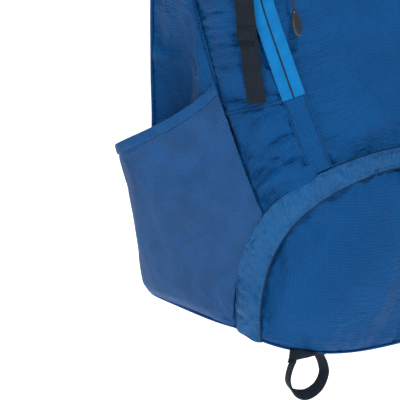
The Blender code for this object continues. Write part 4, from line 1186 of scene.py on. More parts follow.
def make_base():
    """Dark base cloth, flat where the pack stands and turned up to the base seam."""
    def profile(share, angle):
        return edge_z(angle) * np.clip((share - 0.45) / 0.5, 0.0, 1.0) ** 2

    points = disc(lambda angle: skin(angle, edge_z(angle)), 100, 84, profile)[::-1]
    patch = Patch(points)
    patch.weave = points[..., :2]
    cloth_panel("base_cloth", patch, lambda p: (
        0.5 * noise(p.points[..., 0] / 24.0, p.points[..., 1] / 40.0, 111)), "bottom_panel",
        "base_cloth", 0.3)


# The collar's profile: height above the body, and how far it stands out from the skin.
COLLAR_PROFILE = ((1.0, -5.0), (12.0, -7.0), (22.0, -13.0), (30.0, -26.0))


def make_collar():
    """Cloth ring round the mouth of the main compartment, gathered inwards under the lid."""
    levels = smooth_path(COLLAR_PROFILE, 14)
    angle = np.linspace(-180.0, 180.0, 361)
    rows = []
    for rise, inset in levels:
        ring = skin(angle, np.full(angle.shape, TOP_Z), inset)
        share = rise / COLLAR_PROFILE[-1][0]
        gather = 2.4 * share * np.sin(np.radians(angle) * 44.0) + 1.6 * share * np.sin(
            np.radians(angle) * 17.0)
        out = unit(ring - (0.0, CENTRE_Y, TOP_Z))
        ring = ring + out * gather[:, None]
        ring[:, 2] = TOP_Z + rise + 0.5 * gather * share
        rows.append(ring)
    patch = Patch(np.stack(rows, 0))
    made = shell_mesh("collar_cloth", patch, CLOTH, weld=True)
    add(made, "ripstop", "ripstop", "pack", "collar")


# ---------------------------------------------------------------- side pockets


def pocket_point(s, z, offset):
    """Point of the right mesh pocket; s runs from its front seam (0) to its rear seam (1)."""
    s, z = np.broadcast_arrays(np.asarray(s, float), np.asarray(z, float))
    foot_angle, foot_z = SIDE_SEAM[0]
    drop = np.clip((foot_z - z) / (foot_z - BASE_EDGE_Z), 0.0, 1.0)
    curved = foot_angle + (BASE_EDGE_ANGLE - foot_angle) * (1.0 - (1.0 - drop) ** 2)
    front = np.where(z >= foot_z, seam_angle(SIDE_SEAM, z), curved) + 0.3
    angle = front + (REAR_SEAM_ANGLE - 1.0 - front) * s
    swell = np.maximum(np.sin(np.pi * s**2.6), 0.0) ** 0.55
    rise = (z - BASE_EDGE_Z) / (POCKET_BULGE_Z - BASE_EDGE_Z)
    tuck = np.clip((z - BASE_EDGE_Z) / 12.0, 0.0, 1.0) ** 0.5
    bulge = (POCKET_BULGE_LOW + (POCKET_BULGE - POCKET_BULGE_LOW) * rise) * swell * tuck
    point = skin(angle, z, 0.6 + (offset - 0.6) * tuck)
    point[..., 0] += bulge
    return point


def pocket_top(s):
    return POCKET_FRONT_Z - POCKET_DROP * s + POCKET_DROP_EASE * s**2


def pocket_patch(side, low, high, offset, rows):
    """Grid of the pocket between two lines of height, in the order of its angle."""
    s = np.linspace(0.0, 1.0, 91)
    share = np.linspace(0.0, 1.0, rows + 1)[:, None]
    points = pocket_point(s[None], low(s) + (high(s) - low(s)) * share, offset)
    if side < 0.0:
        points = (points * (-1.0, 1.0, 1.0))[:, ::-1]
    return Patch(points)


def pocket_cloth(word, side, seed):
    """Mesh of a pocket: it fans out from its lower front corner and gathers under the hem."""
    patch = pocket_patch(side, lambda s: BASE_EDGE_Z + 0.0 * s,
                         lambda s: pocket_top(s) - POCKET_HEM, OVERLAY + 1.6, 68)
    settle(patch, *MESH_SETTLES)
    front = patch.left if side > 0 else patch.right
    low = patch.low
    spread = np.degrees(np.arctan2(low + 6.0, front + 6.0))
    reach = np.hypot(low, front)
    fan = noise(spread / 6.5, reach / 200.0, seed) * np.exp(-((reach - 38.0) / 42.0) ** 2)
    drape = noise(patch.left / 9.0, low / 130.0, seed + 1) * near(low - 110.0, 75.0)
    gather = noise(patch.left / 5.0, low / 14.0, seed + 2) * near(patch.high, 12.0)
    patch.lift(1.6 * fan + 0.8 * drape + 0.4 * gather - 0.6 * near(patch.edge, 3.0))
    made = shell_mesh("mesh_cloth_" + word, patch, 0.7)
    add(made, "pocket_mesh", "pocket_mesh", "pack", "mesh_pocket_" + word)
    return patch


def pocket_hem(word, side, seed):
    """Rolled elastic hem along a pocket's mouth."""
    hem = pocket_patch(side, lambda s: pocket_top(s) - POCKET_HEM, pocket_top, OVERLAY + 1.9, 8)
    wave = 0.45 * noise(hem.left / 2.6, hem.low / 14.0, seed)
    roll = 0.9 * np.sin(np.pi * hem.low / (hem.low + hem.high)) ** 0.5
    hem.lift(wave + roll)
    band = shell_mesh("hem_" + word, hem, 2.2)
    add(band, "elastic_hem", "elastic_hem", "pack", "pocket_hem_" + word)
    rows = [offset_row(*hem.row(which), 0.0, 0.1) for which in (1, 2, 7)]
    stitch_mesh("hem_stitches_" + word, rows, "thread", "pack", "elastic_hem", FINE_STITCH)


def pocket_stitches(word, side, patch):
    """Stitches along a pocket's front seam, its rear seam and its foot."""
    seam, border = (0, -1) if side > 0 else (-1, 0)
    rows = [offset_row(*patch.column(seam), 1.8 * side, 0.5),
            offset_row(*patch.column(border), -2.2 * side, 0.5),
            offset_row(*patch.row(0), -2.0, 0.5)]
    stitch_mesh("pocket_stitches_" + word, rows, "thread", "pack", "pocket_mesh")


def make_pockets():
    for k, (word, side) in enumerate(SIDES):
        seed = 300 + 20 * k
        patch = pocket_cloth(word, side, seed)
        pocket_hem(word, side, seed + 4)
        pocket_stitches(word, side, patch)


# ---------------------------------------------------------------- zips


def coil_mesh(name, row, body="pack", wide=1.5):
    """The zip's teeth: one flattened nylon coil along a line."""
    centre, normals, side, place = line_axes(row, COIL_PITCH / 8)
    turn = 2 * np.pi * place / COIL_PITCH
    helix = (centre + side * (wide * np.cos(turn))[:, None]
             + normals * (COIL_HIGH * np.sin(turn))[:, None])
    out = unit(helix - centre)
    other = unit(np.cross(unit(np.gradient(helix, axis=0)), out))
    around = np.linspace(0.0, 2 * np.pi, 6)
    points = helix[:, None] + COIL_WIRE * circles(out, other, around)
    tube_mesh(name, points, place, around, "coil", "zip_tape", body)


def zip_lips(name, lips, body, seed):
    """Two lips of tape, each stitched along its outer row; a lip is its patch and that row."""
    rows = []
    for k, (patch, outer) in enumerate(lips):
        patch.lift(0.10 * noise(patch.left / 5.0, patch.low / 9.0, seed + k)
                   - 0.35 * near(patch.edge, 1.2))
        nodes = (name,) if k == 0 else ()
        add(shell_mesh(f"{name}_tape_{k}", patch, 1.2), "zip_tape", "zip_tape", body, *nodes)
        rows.append(offset_row(*patch.row(outer), 1.5 if outer else -1.5, 0.2))
    stitch_mesh(name + "_stitches", rows, "thread", body, "zip_tape", FINE_STITCH)


def zip_tapes(name, curve, samples, half_width, lift, gap=0.4):
    """A zip on the skin: its lips nearly meet over the coil."""
    lip = (half_width - gap) / 2
    lips = [(skin_strip(curve, samples, lip, lift, 0.45, 7, way * (gap + lip)), outer)
            for way, outer in ((-1.0, -1), (1.0, 0))]
    zip_lips(name, lips, "pack", 400)
    coil_mesh(name + "_coil", skin_row(curve, samples, 0.0, lift - 0.9), wide=1.0)


def make_zips():
    for word, side in SIDES:
        curve = along_seam(ZIP_LINE, SIDE_ZIP_LOW_Z, SIDE_ZIP_TOP_Z, side)
        zip_tapes("side_zip_" + word, curve, 70, 11.0, 2.9)
    reach = float(seam_angle(ZIP_LINE, POCKET_ZIP_Z)) - 6.5
    curve = line((-reach, POCKET_ZIP_Z), (reach, POCKET_ZIP_Z))
    zip_tapes("pocket_zip", curve, 90, 6.0, 2.9, 0.8)


def make_arch_zip():
    """The compartment's zip, under the shiny band."""
    middle = [(inner + seam) / 2 + 1.0 for inner, seam in zip(ARCH_INNER, ARCH_SEAM)]

    def curve(t):
        return arch(middle, 2 * t - 1)

    tape = skin_strip(curve, 240, 5.0, 1.2, 0.2, 4)
    add(shell_mesh("arch_zip_tape", tape, 0.7), "base_cloth", "zip_tape", "pack", "arch_zip")
    coil_mesh("arch_zip_coil", skin_row(curve, 240, 0.0, 1.7))


# ---------------------------------------------------------------- straps and loops


def buckle_frame(side):
    """Middle, up and across of a lid buckle, set along the arc that its plug leaves on."""
    middle = front_skin(side * STRAP_X, BUCKLE_Z, 9.5)
    arm = middle - LID_HINGE
    up = unit(np.array((0.0, arm[2], -arm[1])))
    across = np.array((0.54, side * 0.84, 0.0))
    across = unit(across - across.dot(up) * up)
    return middle, up, across


def control(point, across, width, depth):
    return (*point, *across, width, depth)


def anchor_webbing(word, side, middle, up, across):
    """Webbing sewn down the side, up to its buckle's socket."""
    path = [
        control(front_skin(side * x, z, OVERLAY + WEBBING / 2 + lift), across, ANCHOR_WIDTH,
                WEBBING)
        for z, x, lift in ANCHOR_ROUTE
    ]
    path.append(control(middle - up * SOCKET_REACH, across, ANCHOR_WIDTH, WEBBING))
    webbing("anchor_webbing_" + word, path, 90, "pack", "strap_anchor_" + word)


def lid_webbing(word, side, middle, up, out):
    """Webbing from the lid's rim down to the plug."""
    turned = np.array((0.78, side * 0.62, 0.0))
    rim = middle + up * 38.0 + out * 2.0
    path = [control(point, turned, LID_STRAP_WIDTH, WEBBING)
            for point in (middle + up * 25.0 + out * 2.0, rim, rim + (0.0, 1.0, 16.0))]
    webbing("lid_webbing_" + word, path, 24, "lid", "lid_strap_" + word)


def strap_tail(word, side, middle, up, out, across):
    """Loose end that hangs from the plug, folded and tacked at its foot."""
    hem = front_skin(side * TAIL_X, TAIL_LOW_Z, OVERLAY + WEBBING + 4.2)
    lower = front_skin(side * TAIL_X, TAIL_HIGH_Z, OVERLAY + WEBBING + 5.6)
    path = [control(point, across, LID_STRAP_WIDTH, WEBBING) for point in (
        middle + up * 21.5 + out * 3.2, middle + up * 10.0 + out * 7.6,
        middle - up * 18.0 + out * 7.6, lower, hem + UP * 11.0)]
    webbing("tail_webbing_" + word, path, 120, "lid", "strap_tail_" + word)
    folded = [control(hem + UP * rise, across, LID_STRAP_WIDTH + 0.5, depth)
              for rise, depth in TAIL_HEM]
    webbing("tail_hem_" + word, folded, 24, "lid")
    rows = []
    for face in (1.0, -1.0):
        normal = np.cross(across, UP) * face
        share = np.linspace(-0.46, 0.46, 9)[:, None]
        path = (hem + UP * TAIL_TACK + across * share * LID_STRAP_WIDTH
                + normal * (WEBBING + 0.25))
        rows.append((path, np.broadcast_to(normal, path.shape)))
    stitch_mesh("tail_stitches_" + word, rows, "webbing", "lid", "webbing", TACK_STITCH)


def make_lid_straps():
    for word, side in SIDES:
        middle, up, across = buckle_frame(side)
        out = np.cross(across, up)
        if out[1] > 0.0:
            out = -out
        anchor_webbing(word, side, middle, up, across)
        lid_webbing(word, side, middle, up, out)
        strap_tail(word, side, middle, up, out, across)


# Half of each loop: place from its middle, and the direction across its webbing.
HAUL_HALF = (
    (-9.2, 107.6, 392.0, 1.0, 0.0, 0.0),
    (-10.0, 109.6, 406.0, 1.0, 0.2, 0.0),
    (-18.0, 112.8, 419.0, 0.6, 0.8, 0.0),
    (-12.0, 114.0, 432.0, 0.1, 1.0, 0.0),
    (0.0, 114.0, 435.0, 0.0, 1.0, 0.0),
)
GEAR_LOOP_HALF = (
    (-14.5, 0.0, 1.0, 0.3, 0.95, 0.0),
    (-19.5, 0.0, -9.0, 0.3, 0.95, 0.0),
    (-21.0, 0.0, -20.0, 0.25, 0.97, 0.0),
    (-14.0, 0.0, -31.5, 0.1, 0.85, 0.45),
    (0.0, 0.0, -36.5, 0.0, 0.7, 0.7),
)
HAUL_WIDTH = 16.0
GEAR_LOOP_WIDTH = 11.5
LOOP_WEBBING = 2.0
TAB_REACH = 21.0
TAB_THICKNESS = 3.4


def make_loops():
    path = [(*row, HAUL_WIDTH, LOOP_WEBBING) for row in both_halves(HAUL_HALF)]
    webbing("haul_webbing", path, 90, "pack", "haul_loop")

    for word, side in SIDES:
        pivot = (side * LOOP_X, LOOP_Y, LOOP_Z)
        path = [
            (pivot[0] + x, pivot[1] + y, pivot[2] + z, *across, GEAR_LOOP_WIDTH, LOOP_WEBBING)
            for x, y, z, *across in both_halves(GEAR_LOOP_HALF)
        ]
        webbing("loop_webbing_" + word, path, 110, "bottom_loop_" + word, "bottom_loop_" + word)
        loop_tab("loop_tab_" + word, pivot)


def loop_tab(name, pivot):
    """Folded tab in the base seam that holds both ends of a gear loop."""
    x = np.linspace(-TAB_REACH, TAB_REACH, 43)
    angle = np.degrees(np.arctan2(pivot[0] + x, CENTRE_Y - pivot[1]))
    seam = skin(angle, edge_z(angle))
    low = np.stack([pivot[0] + x, np.full_like(x, pivot[1]), np.full_like(x, pivot[2])], -1)
    share = np.linspace(0.0, 1.0, 9)[:, None, None]
    grid = low[None] + (seam + UP - low)[None] * share
    patch = Patch(grid)
    patch.lift(1.9 * np.sin(np.pi * share[..., 0] * 0.9) + 0.3 * noise(patch.left / 3.0,
               patch.low / 20.0, 480))
    patch.points[..., 1] -= 1.0
    add(shell_mesh(name, patch, TAB_THICKNESS), "base_cloth", "base_cloth", "pack")


# ---------------------------------------------------------------- moulded hardware


def rounded(width, height, radius, centre=(0.0, 0.0)):
    """Outline of a rectangle with round corners."""
    points = []
    for k, (x, y) in enumerate(((1, 1), (-1, 1), (-1, -1), (1, -1))):
        for turn in np.radians(np.linspace(90.0 * k, 90.0 * k + 90.0, 6)):
            points.append((centre[0] + x * (width / 2 - radius) + radius * math.cos(turn),
                           centre[1] + y * (height / 2 - radius) + radius * math.sin(turn)))
    return points


def plate(outer, holes, thickness, centre, across, up, edge=0.45):
    """Flat moulding from an outline and the holes in it, with rounded edges."""
    curve = bpy.data.curves.new("plate", "CURVE")
    curve.dimensions = "2D"
    curve.fill_mode = "BOTH"
    curve.extrude = thickness / 2 - edge
    curve.bevel_depth = edge
    curve.bevel_resolution = 2
    for outline in (outer, *(hole[::-1] for hole in holes)):
        spline = curve.splines.new("POLY")
        spline.points.add(len(outline) - 1)
        for point, (x, y) in zip(spline.points, outline):
            point.co = (x, y, 0.0, 1.0)
        spline.use_cyclic_u = True
    holder = linked("plate", curve)
    shape = bpy.data.meshes.new_from_object(holder)
    flat = np.zeros(len(shape.vertices) * 3)
    shape.vertices.foreach_get("co", flat)
    flat = flat.reshape(-1, 3)
    faces = [list(face.vertices) for face in shape.polygons]
    bpy.data.objects.remove(holder, do_unlink=True)
    bpy.data.curves.remove(curve)
    bpy.data.meshes.remove(shape)
    across, up = unit(across), np.array(up, float)
    up = unit(up - up.dot(across) * across)
    points = centre + flat[:, :1] * across + flat[:, 1:2] * up + flat[:, 2:] * np.cross(across, up)
    return smooth(mesh_object("plate", points, faces), 35.0, weld=True)


def joined(name, parts):
    """One object from several."""
    shape = bmesh.new()
    for part in parts:
        shape.from_mesh(part.data)
    mesh = bpy.data.meshes.new(name)
    shape.to_mesh(mesh)
    shape.free()
    for part in parts:
        old = part.data
        bpy.data.objects.remove(part, do_unlink=True)
        bpy.data.meshes.remove(old)
    return smooth(linked(name, mesh), 35.0)


def lofted(name, centres, across, up, sizes, power, around):
    """Closed form through rounded rings; sizes gives each ring's width and depth."""
    turn = np.linspace(0.0, 2 * np.pi, around, endpoint=False)
    cosine, sine = np.cos(turn), np.sin(turn)
    x = np.sign(cosine) * np.abs(cosine) ** (2 / power)
    y = np.sign(sine) * np.abs(sine) ** (2 / power)
    rings = [centre + x[:, None] * across * width / 2 + y[:, None] * up * depth / 2
             for centre, (width, depth) in zip(centres, sizes)]
    index = np.arange(len(rings) * around).reshape(len(rings), around)
    turned = np.roll(index, -1, axis=1)
    faces = np.stack([index[:-1], turned[:-1], turned[1:], index[1:]], -1).reshape(-1, 4).tolist()
    faces += [index[0][::-1].tolist(), index[-1].tolist()]
    return smooth(mesh_object(name, np.concatenate(rings), faces), 40.0, weld=True)


# Each kind of slider: length of its pull tab, height, half width, and reach above its place.
SLIDER = (18.0, 9.0, 4.5, 13.5)
ARCH_SLIDER = (14.0, 7.0, 3.8, 10.5)
POCKET_SLIDER = (0.0, 9.0, 5.4, 5.6)
BRIDGE = ((-3.2, 0.9), (-2.9, 2.3), (-1.2, 3.1), (1.2, 3.1), (2.9, 2.3), (3.2, 0.9))


def zip_slider(name, centre, along, out, body, kind=SLIDER):
    """Slider with two wings, the bridge between them and a pull tab that hangs from it."""
    tab, high, half, tip = kind
    along, out = unit(along), unit(out)
    across = unit(np.cross(along, out))
    middle = centre + along * (tip - half - 0.2)
    shield = rounded(2 * half - 1.0, high - 1.0, 2.6)
    parts = [
        plate(shield, (), 1.1, middle - out * 1.1, across, along),
        plate(shield, (), 1.1, middle + out * 0.9, across, along),
        plate(rounded(1.7, high - 3.0, 0.7), (), 2.4, middle, across, along),
    ]
    bridge = smooth_path([middle + along * a + out * b for a, b in BRIDGE], 20)
    parts.append(lofted("bridge", bridge, across, out, [(2.2, 1.1)] * len(bridge), 3.0, 12))
    if tab:
        spot = middle - along * (half + tab / 2 - 2.5) + out * 1.9
        eye = rounded(2.0, 3.0, 0.9, (0.0, tab / 2 - 2.8))
        low_eye = rounded(2.4, 5.0, 1.1, (0.0, -tab / 2 + 4.6))
        parts.append(plate(rounded(4.4, tab, 2.0), (eye, low_eye), 1.5, spot, across, along))
    add(joined(name, parts), "zip_slider", "zip_slider", body, body)


def side_slider_place(side):
    """Centre, direction and outward side of the slider on a side zip."""
    curve = along_seam(ZIP_LINE, SIDE_ZIP_LOW_Z, SIDE_ZIP_TOP_Z, side)
    ends = [skin(*curve(t), OVERLAY + SLIDER_LIFT) for t in (0.0, 1.0)]
    along = unit(ends[1] - ends[0])
    out = np.array((side * 0.55, -0.8, 0.0))
    return ends[1] - along * SIDE_SLIDER_INSET, along, unit(out - out.dot(along) * along)


def make_sliders():
    for word, side in SIDES:
        centre, along, out = side_slider_place(side)
        zip_slider("zip_pull_" + word, centre, along, out, "side_slider_" + word)
        top = front_skin(0.0, ARCH_SLIDER_Z, 6.5) + (side * ARCH_SLIDER_X, 0.0, -1.0)
        zip_slider("arch_pull_" + word, top, UP, FORWARD,
                   "arch_slider_" + word, ARCH_SLIDER)
    spot = np.array((-LID_SLIDER_X, LID_FRONT_Y - 4.2, LID_ZIP_Z - 8.0))
    zip_slider("lid_pull", spot, UP, FORWARD, "lid_slider")

    slider = front_skin(0.0, POCKET_ZIP_Z)
    slider = np.array((-PULLER_X, slider[1] - OVERLAY - POCKET_SLIDER_LIFT, POCKET_ZIP_Z))
    zip_slider("pocket_pull", slider, UP, FORWARD, "pocket_slider", POCKET_SLIDER)

    make_puller(slider + (0.0, -1.4, -6.0))


def make_puller(start):
    """Cord that hangs from the pocket's slider, and the moulded grip at its end."""
    fall = np.array((0.0, -PULLER_DROP * PULLER_LEAN, -PULLER_DROP))
    grip = pull_grip(start + fall, unit(fall))
    curve = bpy.data.curves.new("pull_cord", "CURVE")
    curve.dimensions = "3D"
    curve.bevel_depth = CORD_RADIUS * MM
    curve.bevel_resolution = 4
    curve.use_fill_caps = True
    spline = curve.splines.new("POLY")
    spline.points.add(CORD_POINTS - 1)
    for k, point in enumerate(spline.points):
        point.co = (*metres(start + fall * (k / (CORD_POINTS - 1))), 1.0)
    cord = linked("pull_cord", curve)
    add(cord, "cord", "cord", "puller", "puller_cord")


def pull_grip(tip, lean):
    """Teardrop of moulded plastic with a thin ridge down each face."""
    out = unit(np.cross(lean, RIGHT))
    reach = np.linspace(0.0, 1.0, 25)
    wide = 3.6 + 8.6 * np.sin(np.pi * reach**0.85) ** 0.8 * (0.55 + 0.45 * reach)
    deep = 3.2 + 2.6 * np.sin(np.pi * reach) ** 0.7
    ends = np.minimum(1.0, np.minimum(reach, 1.0 - reach) / 0.05) ** 0.5 * 0.6 + 0.4
    centres = tip + lean * (0.2 + 24.3 * reach[:, None])
    parts = [lofted("body", centres, RIGHT, out, list(zip(wide * ends, deep * ends)), 2.3, 28)]
    for face in (1.0, -1.0):
        spine = centres[3:-3] + face * out * (deep[3:-3, None] / 2 - 0.1)
        parts.append(lofted("spine", spine, RIGHT, out, [(1.5, 1.3)] * len(spine), 2.0, 10))
    return add(joined("pull_grip", parts), "moulded_grip", "moulded_grip", "puller", "puller_grip")


# Outlines of the buckles, from the middle: the socket's shell, a prong and the guide.
SHELL = ((-13.0, -3.5), (-11.4, 0.5), (-11.4, 6.5), (-13.0, 9.5), (-12.0, 13.0), (-5.0, 13.0),
         (-3.4, 11.4), (3.4, 11.4), (5.0, 13.0), (12.0, 13.0), (13.0, 9.5), (11.4, 6.5),
         (11.4, 0.5), (13.0, -3.5), (13.0, -12.0), (10.0, -13.0), (-10.0, -13.0), (-13.0, -12.0))
PRONG = ((3.4, 1.2), (9.2, 1.2), (9.4, -3.0), (11.2, -5.4), (10.9, -8.4), (8.4, -11.8),
         (6.6, -11.8), (7.2, -7.6), (6.2, -2.4), (3.4, -1.0))
GUIDE = ((-1.6, 1.2), (1.6, 1.2), (1.5, -9.6), (0.9, -11.0), (-0.9, -11.0), (-1.5, -9.6))
SHELL_RISE = 3.4


def buckle_socket(name, centre, up, across, body, node):
    """Side-release socket: two shells held apart by a bar, open at the top and the sides."""
    normal = np.cross(across, up)
    window = rounded(10.0, 5.0, 1.6, (0.0, 2.2))
    slot = rounded(19.0, 2.6, 1.2, (0.0, -9.0))
    parts = [
        plate(SHELL, (window,), 2.4, centre + normal * SHELL_RISE, across, up, 0.7),
        plate(SHELL, (window,), 2.4, centre - normal * SHELL_RISE, across, up, 0.7),
        plate(rounded(25.0, 8.2, 1.4, (0.0, -8.9)), (slot,), 4.8, centre, across, up, 0.3),
    ]
    add(joined(name, parts), "buckle_plastic", "buckle_plastic", body, node)


def buckle_plug(name, centre, up, across, body, node):
    """Side-release plug: a ladder bar for the strap, a guide and two barbed prongs."""
    head = rounded(24.0, 11.0, 2.2, (0.0, 6.4))
    slot = rounded(17.0, 3.0, 1.3, (0.0, 6.4))
    parts = [
        plate(head, (slot,), 3.4, centre, across, up, 0.7),
        plate(PRONG[::-1], (), 3.0, centre, across, up),
        plate([(-x, y) for x, y in PRONG], (), 3.0, centre, across, up),
        plate(GUIDE[::-1], (), 2.6, centre, across, up),
    ]
    add(joined(name, parts), "buckle_plastic", "buckle_plastic", body, node)


def make_buckles():
    for word, side in SIDES:
        middle, up, across = buckle_frame(side)
        buckle_socket("lid_socket_" + word, middle - up * 1.0, up, across, "pack",
                      "buckle_socket_" + word)
        buckle_plug("lid_plug_" + word, middle + up * 12.0, up, across, "lid",
                    "buckle_plug_" + word)
    buckle_socket("chest_socket", np.array((14.0, STERNUM_Y, STERNUM_Z)), -RIGHT, UP,
                  "shoulder_right", "sternum_socket")
    buckle_plug("chest_plug", np.array((1.0, STERNUM_Y, STERNUM_Z)), -RIGHT, UP,
                "sternum_half", "sternum_plug")


# ---------------------------------------------------------------- lid


def lid_ring(angle, z, inset):
    return oval(angle, z, LID_HALF_WIDTH - inset, LID_CENTRE_Y, LID_FRONT_Y + inset,
                LID_REAR_Y - inset, LID_SQUARENESS, REAR_SQUARENESS)


def lid_fall(angle):
    """How far the lid's rim hangs lower than at the back."""
    return LID_RIM_DROP * (1.0 + np.cos(np.radians(angle))) / 2


# The lid wall's profile: height above the rim, and how far it leans in.
LID_PROFILE = ((0.0, 0.0), (24.0, 0.0), (44.0, 1.6), (57.0, 9.0))


def make_lid_wall():
    """Side wall of the lid, its elastic rim and the piping in its upper seam."""
    angle = np.linspace(-180.0, 180.0, 325)
    levels = smooth_path(LID_PROFILE, 22)
    rows = []
    for rise, inset in levels:
        start = LID_RIM_Z - lid_fall(angle) * (1.0 - rise / (LID_SEAM_Z - LID_RIM_Z))
        rows.append(lid_ring(angle, start + rise, inset))
    patch = Patch(np.stack(rows, 0))
    patch.lift(1.2 * noise(patch.left / 9.0, patch.low / 30.0, 501) * near(patch.low, 16.0)
               + 0.9 * noise(patch.left / 7.0, patch.low / 24.0, 502) * near(patch.high, 16.0)
               + 0.8 * noise(patch.left / 40.0, patch.low / 20.0, 503)
               - 0.7 * near(patch.high, 3.0))
    wall = shell_mesh("lid_wall", patch, CLOTH, weld=True)
    add(wall, "ripstop", "ripstop", "lid")
    edge_tube("lid_rim", (patch.points[0], patch.normals[0]), 1.9, "elastic_hem", "ripstop", "lid")
    edge_tube("lid_piping", (patch.points[-1], patch.normals[-1]), 1.5, "base_cloth", "ripstop",
              "lid")
    stitch_mesh("lid_stitches", [offset_row(*patch.row(1), -2.4, 0.2)], "thread", "lid", "ripstop")


def make_lid_pocket():
    """Puffed crown of the lid, and the floor of the pocket under it."""
    def crown_height(share, _):
        return LID_SEAM_Z + (LID_TOP_Z - LID_SEAM_Z) * (1.0 - share**3.2)

    points = disc(lambda turn: lid_ring(turn, LID_SEAM_Z, 9.6), 96, 80, crown_height, LID_CENTRE_Y)
    patch = Patch(points)
    settle(patch, *LID_SETTLES)
    cloth_panel("lid_crown", patch, lambda p: (
        end_puckers(p, 511, 7.0, 1.6, 16.0) + cross_puckers(p, 512, 6.0, 1.4, 15.0, 0.0)
        + 1.3 * noise(p.points[..., 0] / 46.0, p.points[..., 1] / 38.0, 514)), "lid_top",
        body="lid")

    floor = disc(lambda turn: lid_ring(turn, LID_BASE_Z, 4.6), 60, 48,
                 lambda share, _: LID_BASE_Z - 2.0 * (1.0 - share**2), LID_CENTRE_Y)[::-1]
    patch = Patch(floor)
    cloth_panel("lid_floor", patch, lambda p: (
        0.9 * noise(p.points[..., 0] / 30.0, p.points[..., 1] / 26.0, 521)), "lid_base",
        body="lid")


def make_lid_hinge():
    """Strip sewn to the back panel and to the lid's rear wall."""
    x = np.linspace(HINGE_HALF, -HINGE_HALF, 91)
    z = np.linspace(*HINGE_Z, 25)
    patch = Patch(np.stack(np.broadcast_arrays(x[None], REAR_Y + 1.7, z[:, None]), -1))
    patch.lift(0.3 * noise(patch.left / 8.0, patch.low / 30.0, 531))
    made = shell_mesh("lid_hinge_cloth", patch, CLOTH)
    coat(made, "ripstop")
    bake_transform(made)
    stitch_mesh("lid_hinge_stitches_low", [offset_row(*patch.row(0), -2.0, 0.2)])
    stitch_mesh("lid_hinge_stitches_high", [offset_row(*patch.row(-1), 2.0, 0.2)], "thread", "lid")


def make_lid_zip():
    """The lid pocket's zip, on the lid's front wall."""
    angle = np.linspace(-LID_ZIP_REACH, LID_ZIP_REACH, 121)

    def strip(low, high, count, slope, inset):
        rows = [lid_ring(angle, LID_ZIP_Z + z, slope * z + inset)
                for z in np.linspace(low, high, count)]
        return Patch(np.stack(rows, 0))

    lips = ((strip(-6.0, -0.8, 7, 0.06, -0.8), 0), (strip(0.8, 6.0, 7, 0.06, -0.8), -1))
    zip_lips("lid_zip", lips, "lid", 530)
    coil_mesh("lid_zip_coil", strip(-1.0, 1.0, 3, 0.0, 0.3).row(1), body="lid")


# ---------------------------------------------------------------- back and shoulder straps


PAD_BACK_Y = 105.8
PAD_CORNER = 14.0
SPINE_PAD_X = (26.0, 88.0)
SPINE_CHANNELS = (180.0, 248.0, 316.0)


def back_pad(name, low, high, channels, node, seed):
    """Foam pad under air mesh: crowned, rounded at its corners, with sewn channels."""
    (x0, y0, z0), (x1, y1, z1) = low, high
    u = np.linspace(1.0, -1.0, 49)[None]
    v = np.linspace(-1.0, 1.0, cloth_steps(z1 - z0, 3.4) + 1)[:, None]
    u, v = np.broadcast_arrays(u, v)
    half_x, half_z = (x1 - x0) / 2, (z1 - z0) / 2
    # Rows and columns pull in at the corners, so the outline is rounded.
    far_x, far_z = np.abs(u) * half_x, np.abs(v) * half_z
    cut_x = np.clip(far_z - (half_z - PAD_CORNER), 0.0, PAD_CORNER)
    cut_z = np.clip(far_x - (half_x - PAD_CORNER), 0.0, PAD_CORNER)
    shrink_x = PAD_CORNER - np.sqrt(np.maximum(PAD_CORNER**2 - cut_x**2, 0.0))
    shrink_z = PAD_CORNER - np.sqrt(np.maximum(PAD_CORNER**2 - cut_z**2, 0.0))
    x = (x0 + x1) / 2 + u * (half_x - shrink_x * np.abs(u) ** 3)
    z = (z0 + z1) / 2 + v * (half_z - shrink_z * np.abs(v) ** 3 * 0.6)
    edge = np.minimum((1.0 - np.abs(u)) * half_x, (1.0 - np.abs(v)) * half_z)
    crown = np.clip(edge / 11.0, 0.0, 1.0)
    height = (y1 - y0) * (0.22 + 0.78 * np.sqrt(1.0 - (1.0 - crown) ** 2))
    for channel in channels:
        height = height - 5.0 * near(z - channel, 4.2) * (0.35 + 0.65 * crown)
    height = height + 0.25 * noise(x / 18.0, z / 18.0, seed)
    patch = Patch(np.stack([x, y0 + np.maximum(height, 1.0), z], -1))
    made = closed_mesh(name, patch, np.stack([x, np.full_like(x, y0), z], -1), 60.0)
    add(made, "padding", "padding", "pack", node)
    rim = np.concatenate([patch.points[0], patch.points[1:, -1], patch.points[-1, -2::-1],
                          patch.points[-2::-1, 0]])
    facing = np.broadcast_to((0.0, 1.0, 0.0), rim.shape)
    edge_tube(name + "_binding", (rim, facing), 1.5, "base_cloth", "padding")


def make_back():
    for k, (word, side) in enumerate(SIDES):
        low_x, high_x = sorted(side * x for x in SPINE_PAD_X)
        back_pad("spine_pad_" + word, (low_x, PAD_BACK_Y, 112.0), (high_x, 116.0, 384.0),
                 SPINE_CHANNELS, "back_pad_" + word, 540 + k)
    back_pad("waist_pad", (-76.0, PAD_BACK_Y, 46.0), (76.0, 119.0, 104.0), (), "lumbar_pad", 545)
    for node, finish in (("frame_sheet", "frame_plastic"), ("frame_stay", "stay_metal")):
        coat(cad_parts[node], finish)


SHOULDER_PATH = (
    (51.0, 109.0, 402.0, 48.0, 4.0),
    (51.0, 122.0, 406.0, 51.0, 7.0),
    (51.5, 138.0, 399.0, 56.0, 12.0),
    (53.0, 147.0, 376.0, 60.0, 12.0),
    (58.0, 149.0, 338.0, 60.0, 12.0),
    (64.0, 147.0, 292.0, 57.0, 12.0),
    (70.0, 140.0, 246.0, 53.0, 11.0),
    (73.5, 132.0, 206.0, 46.0, 9.0),
    (75.0, 125.0, 178.0, 34.0, 6.0),
)
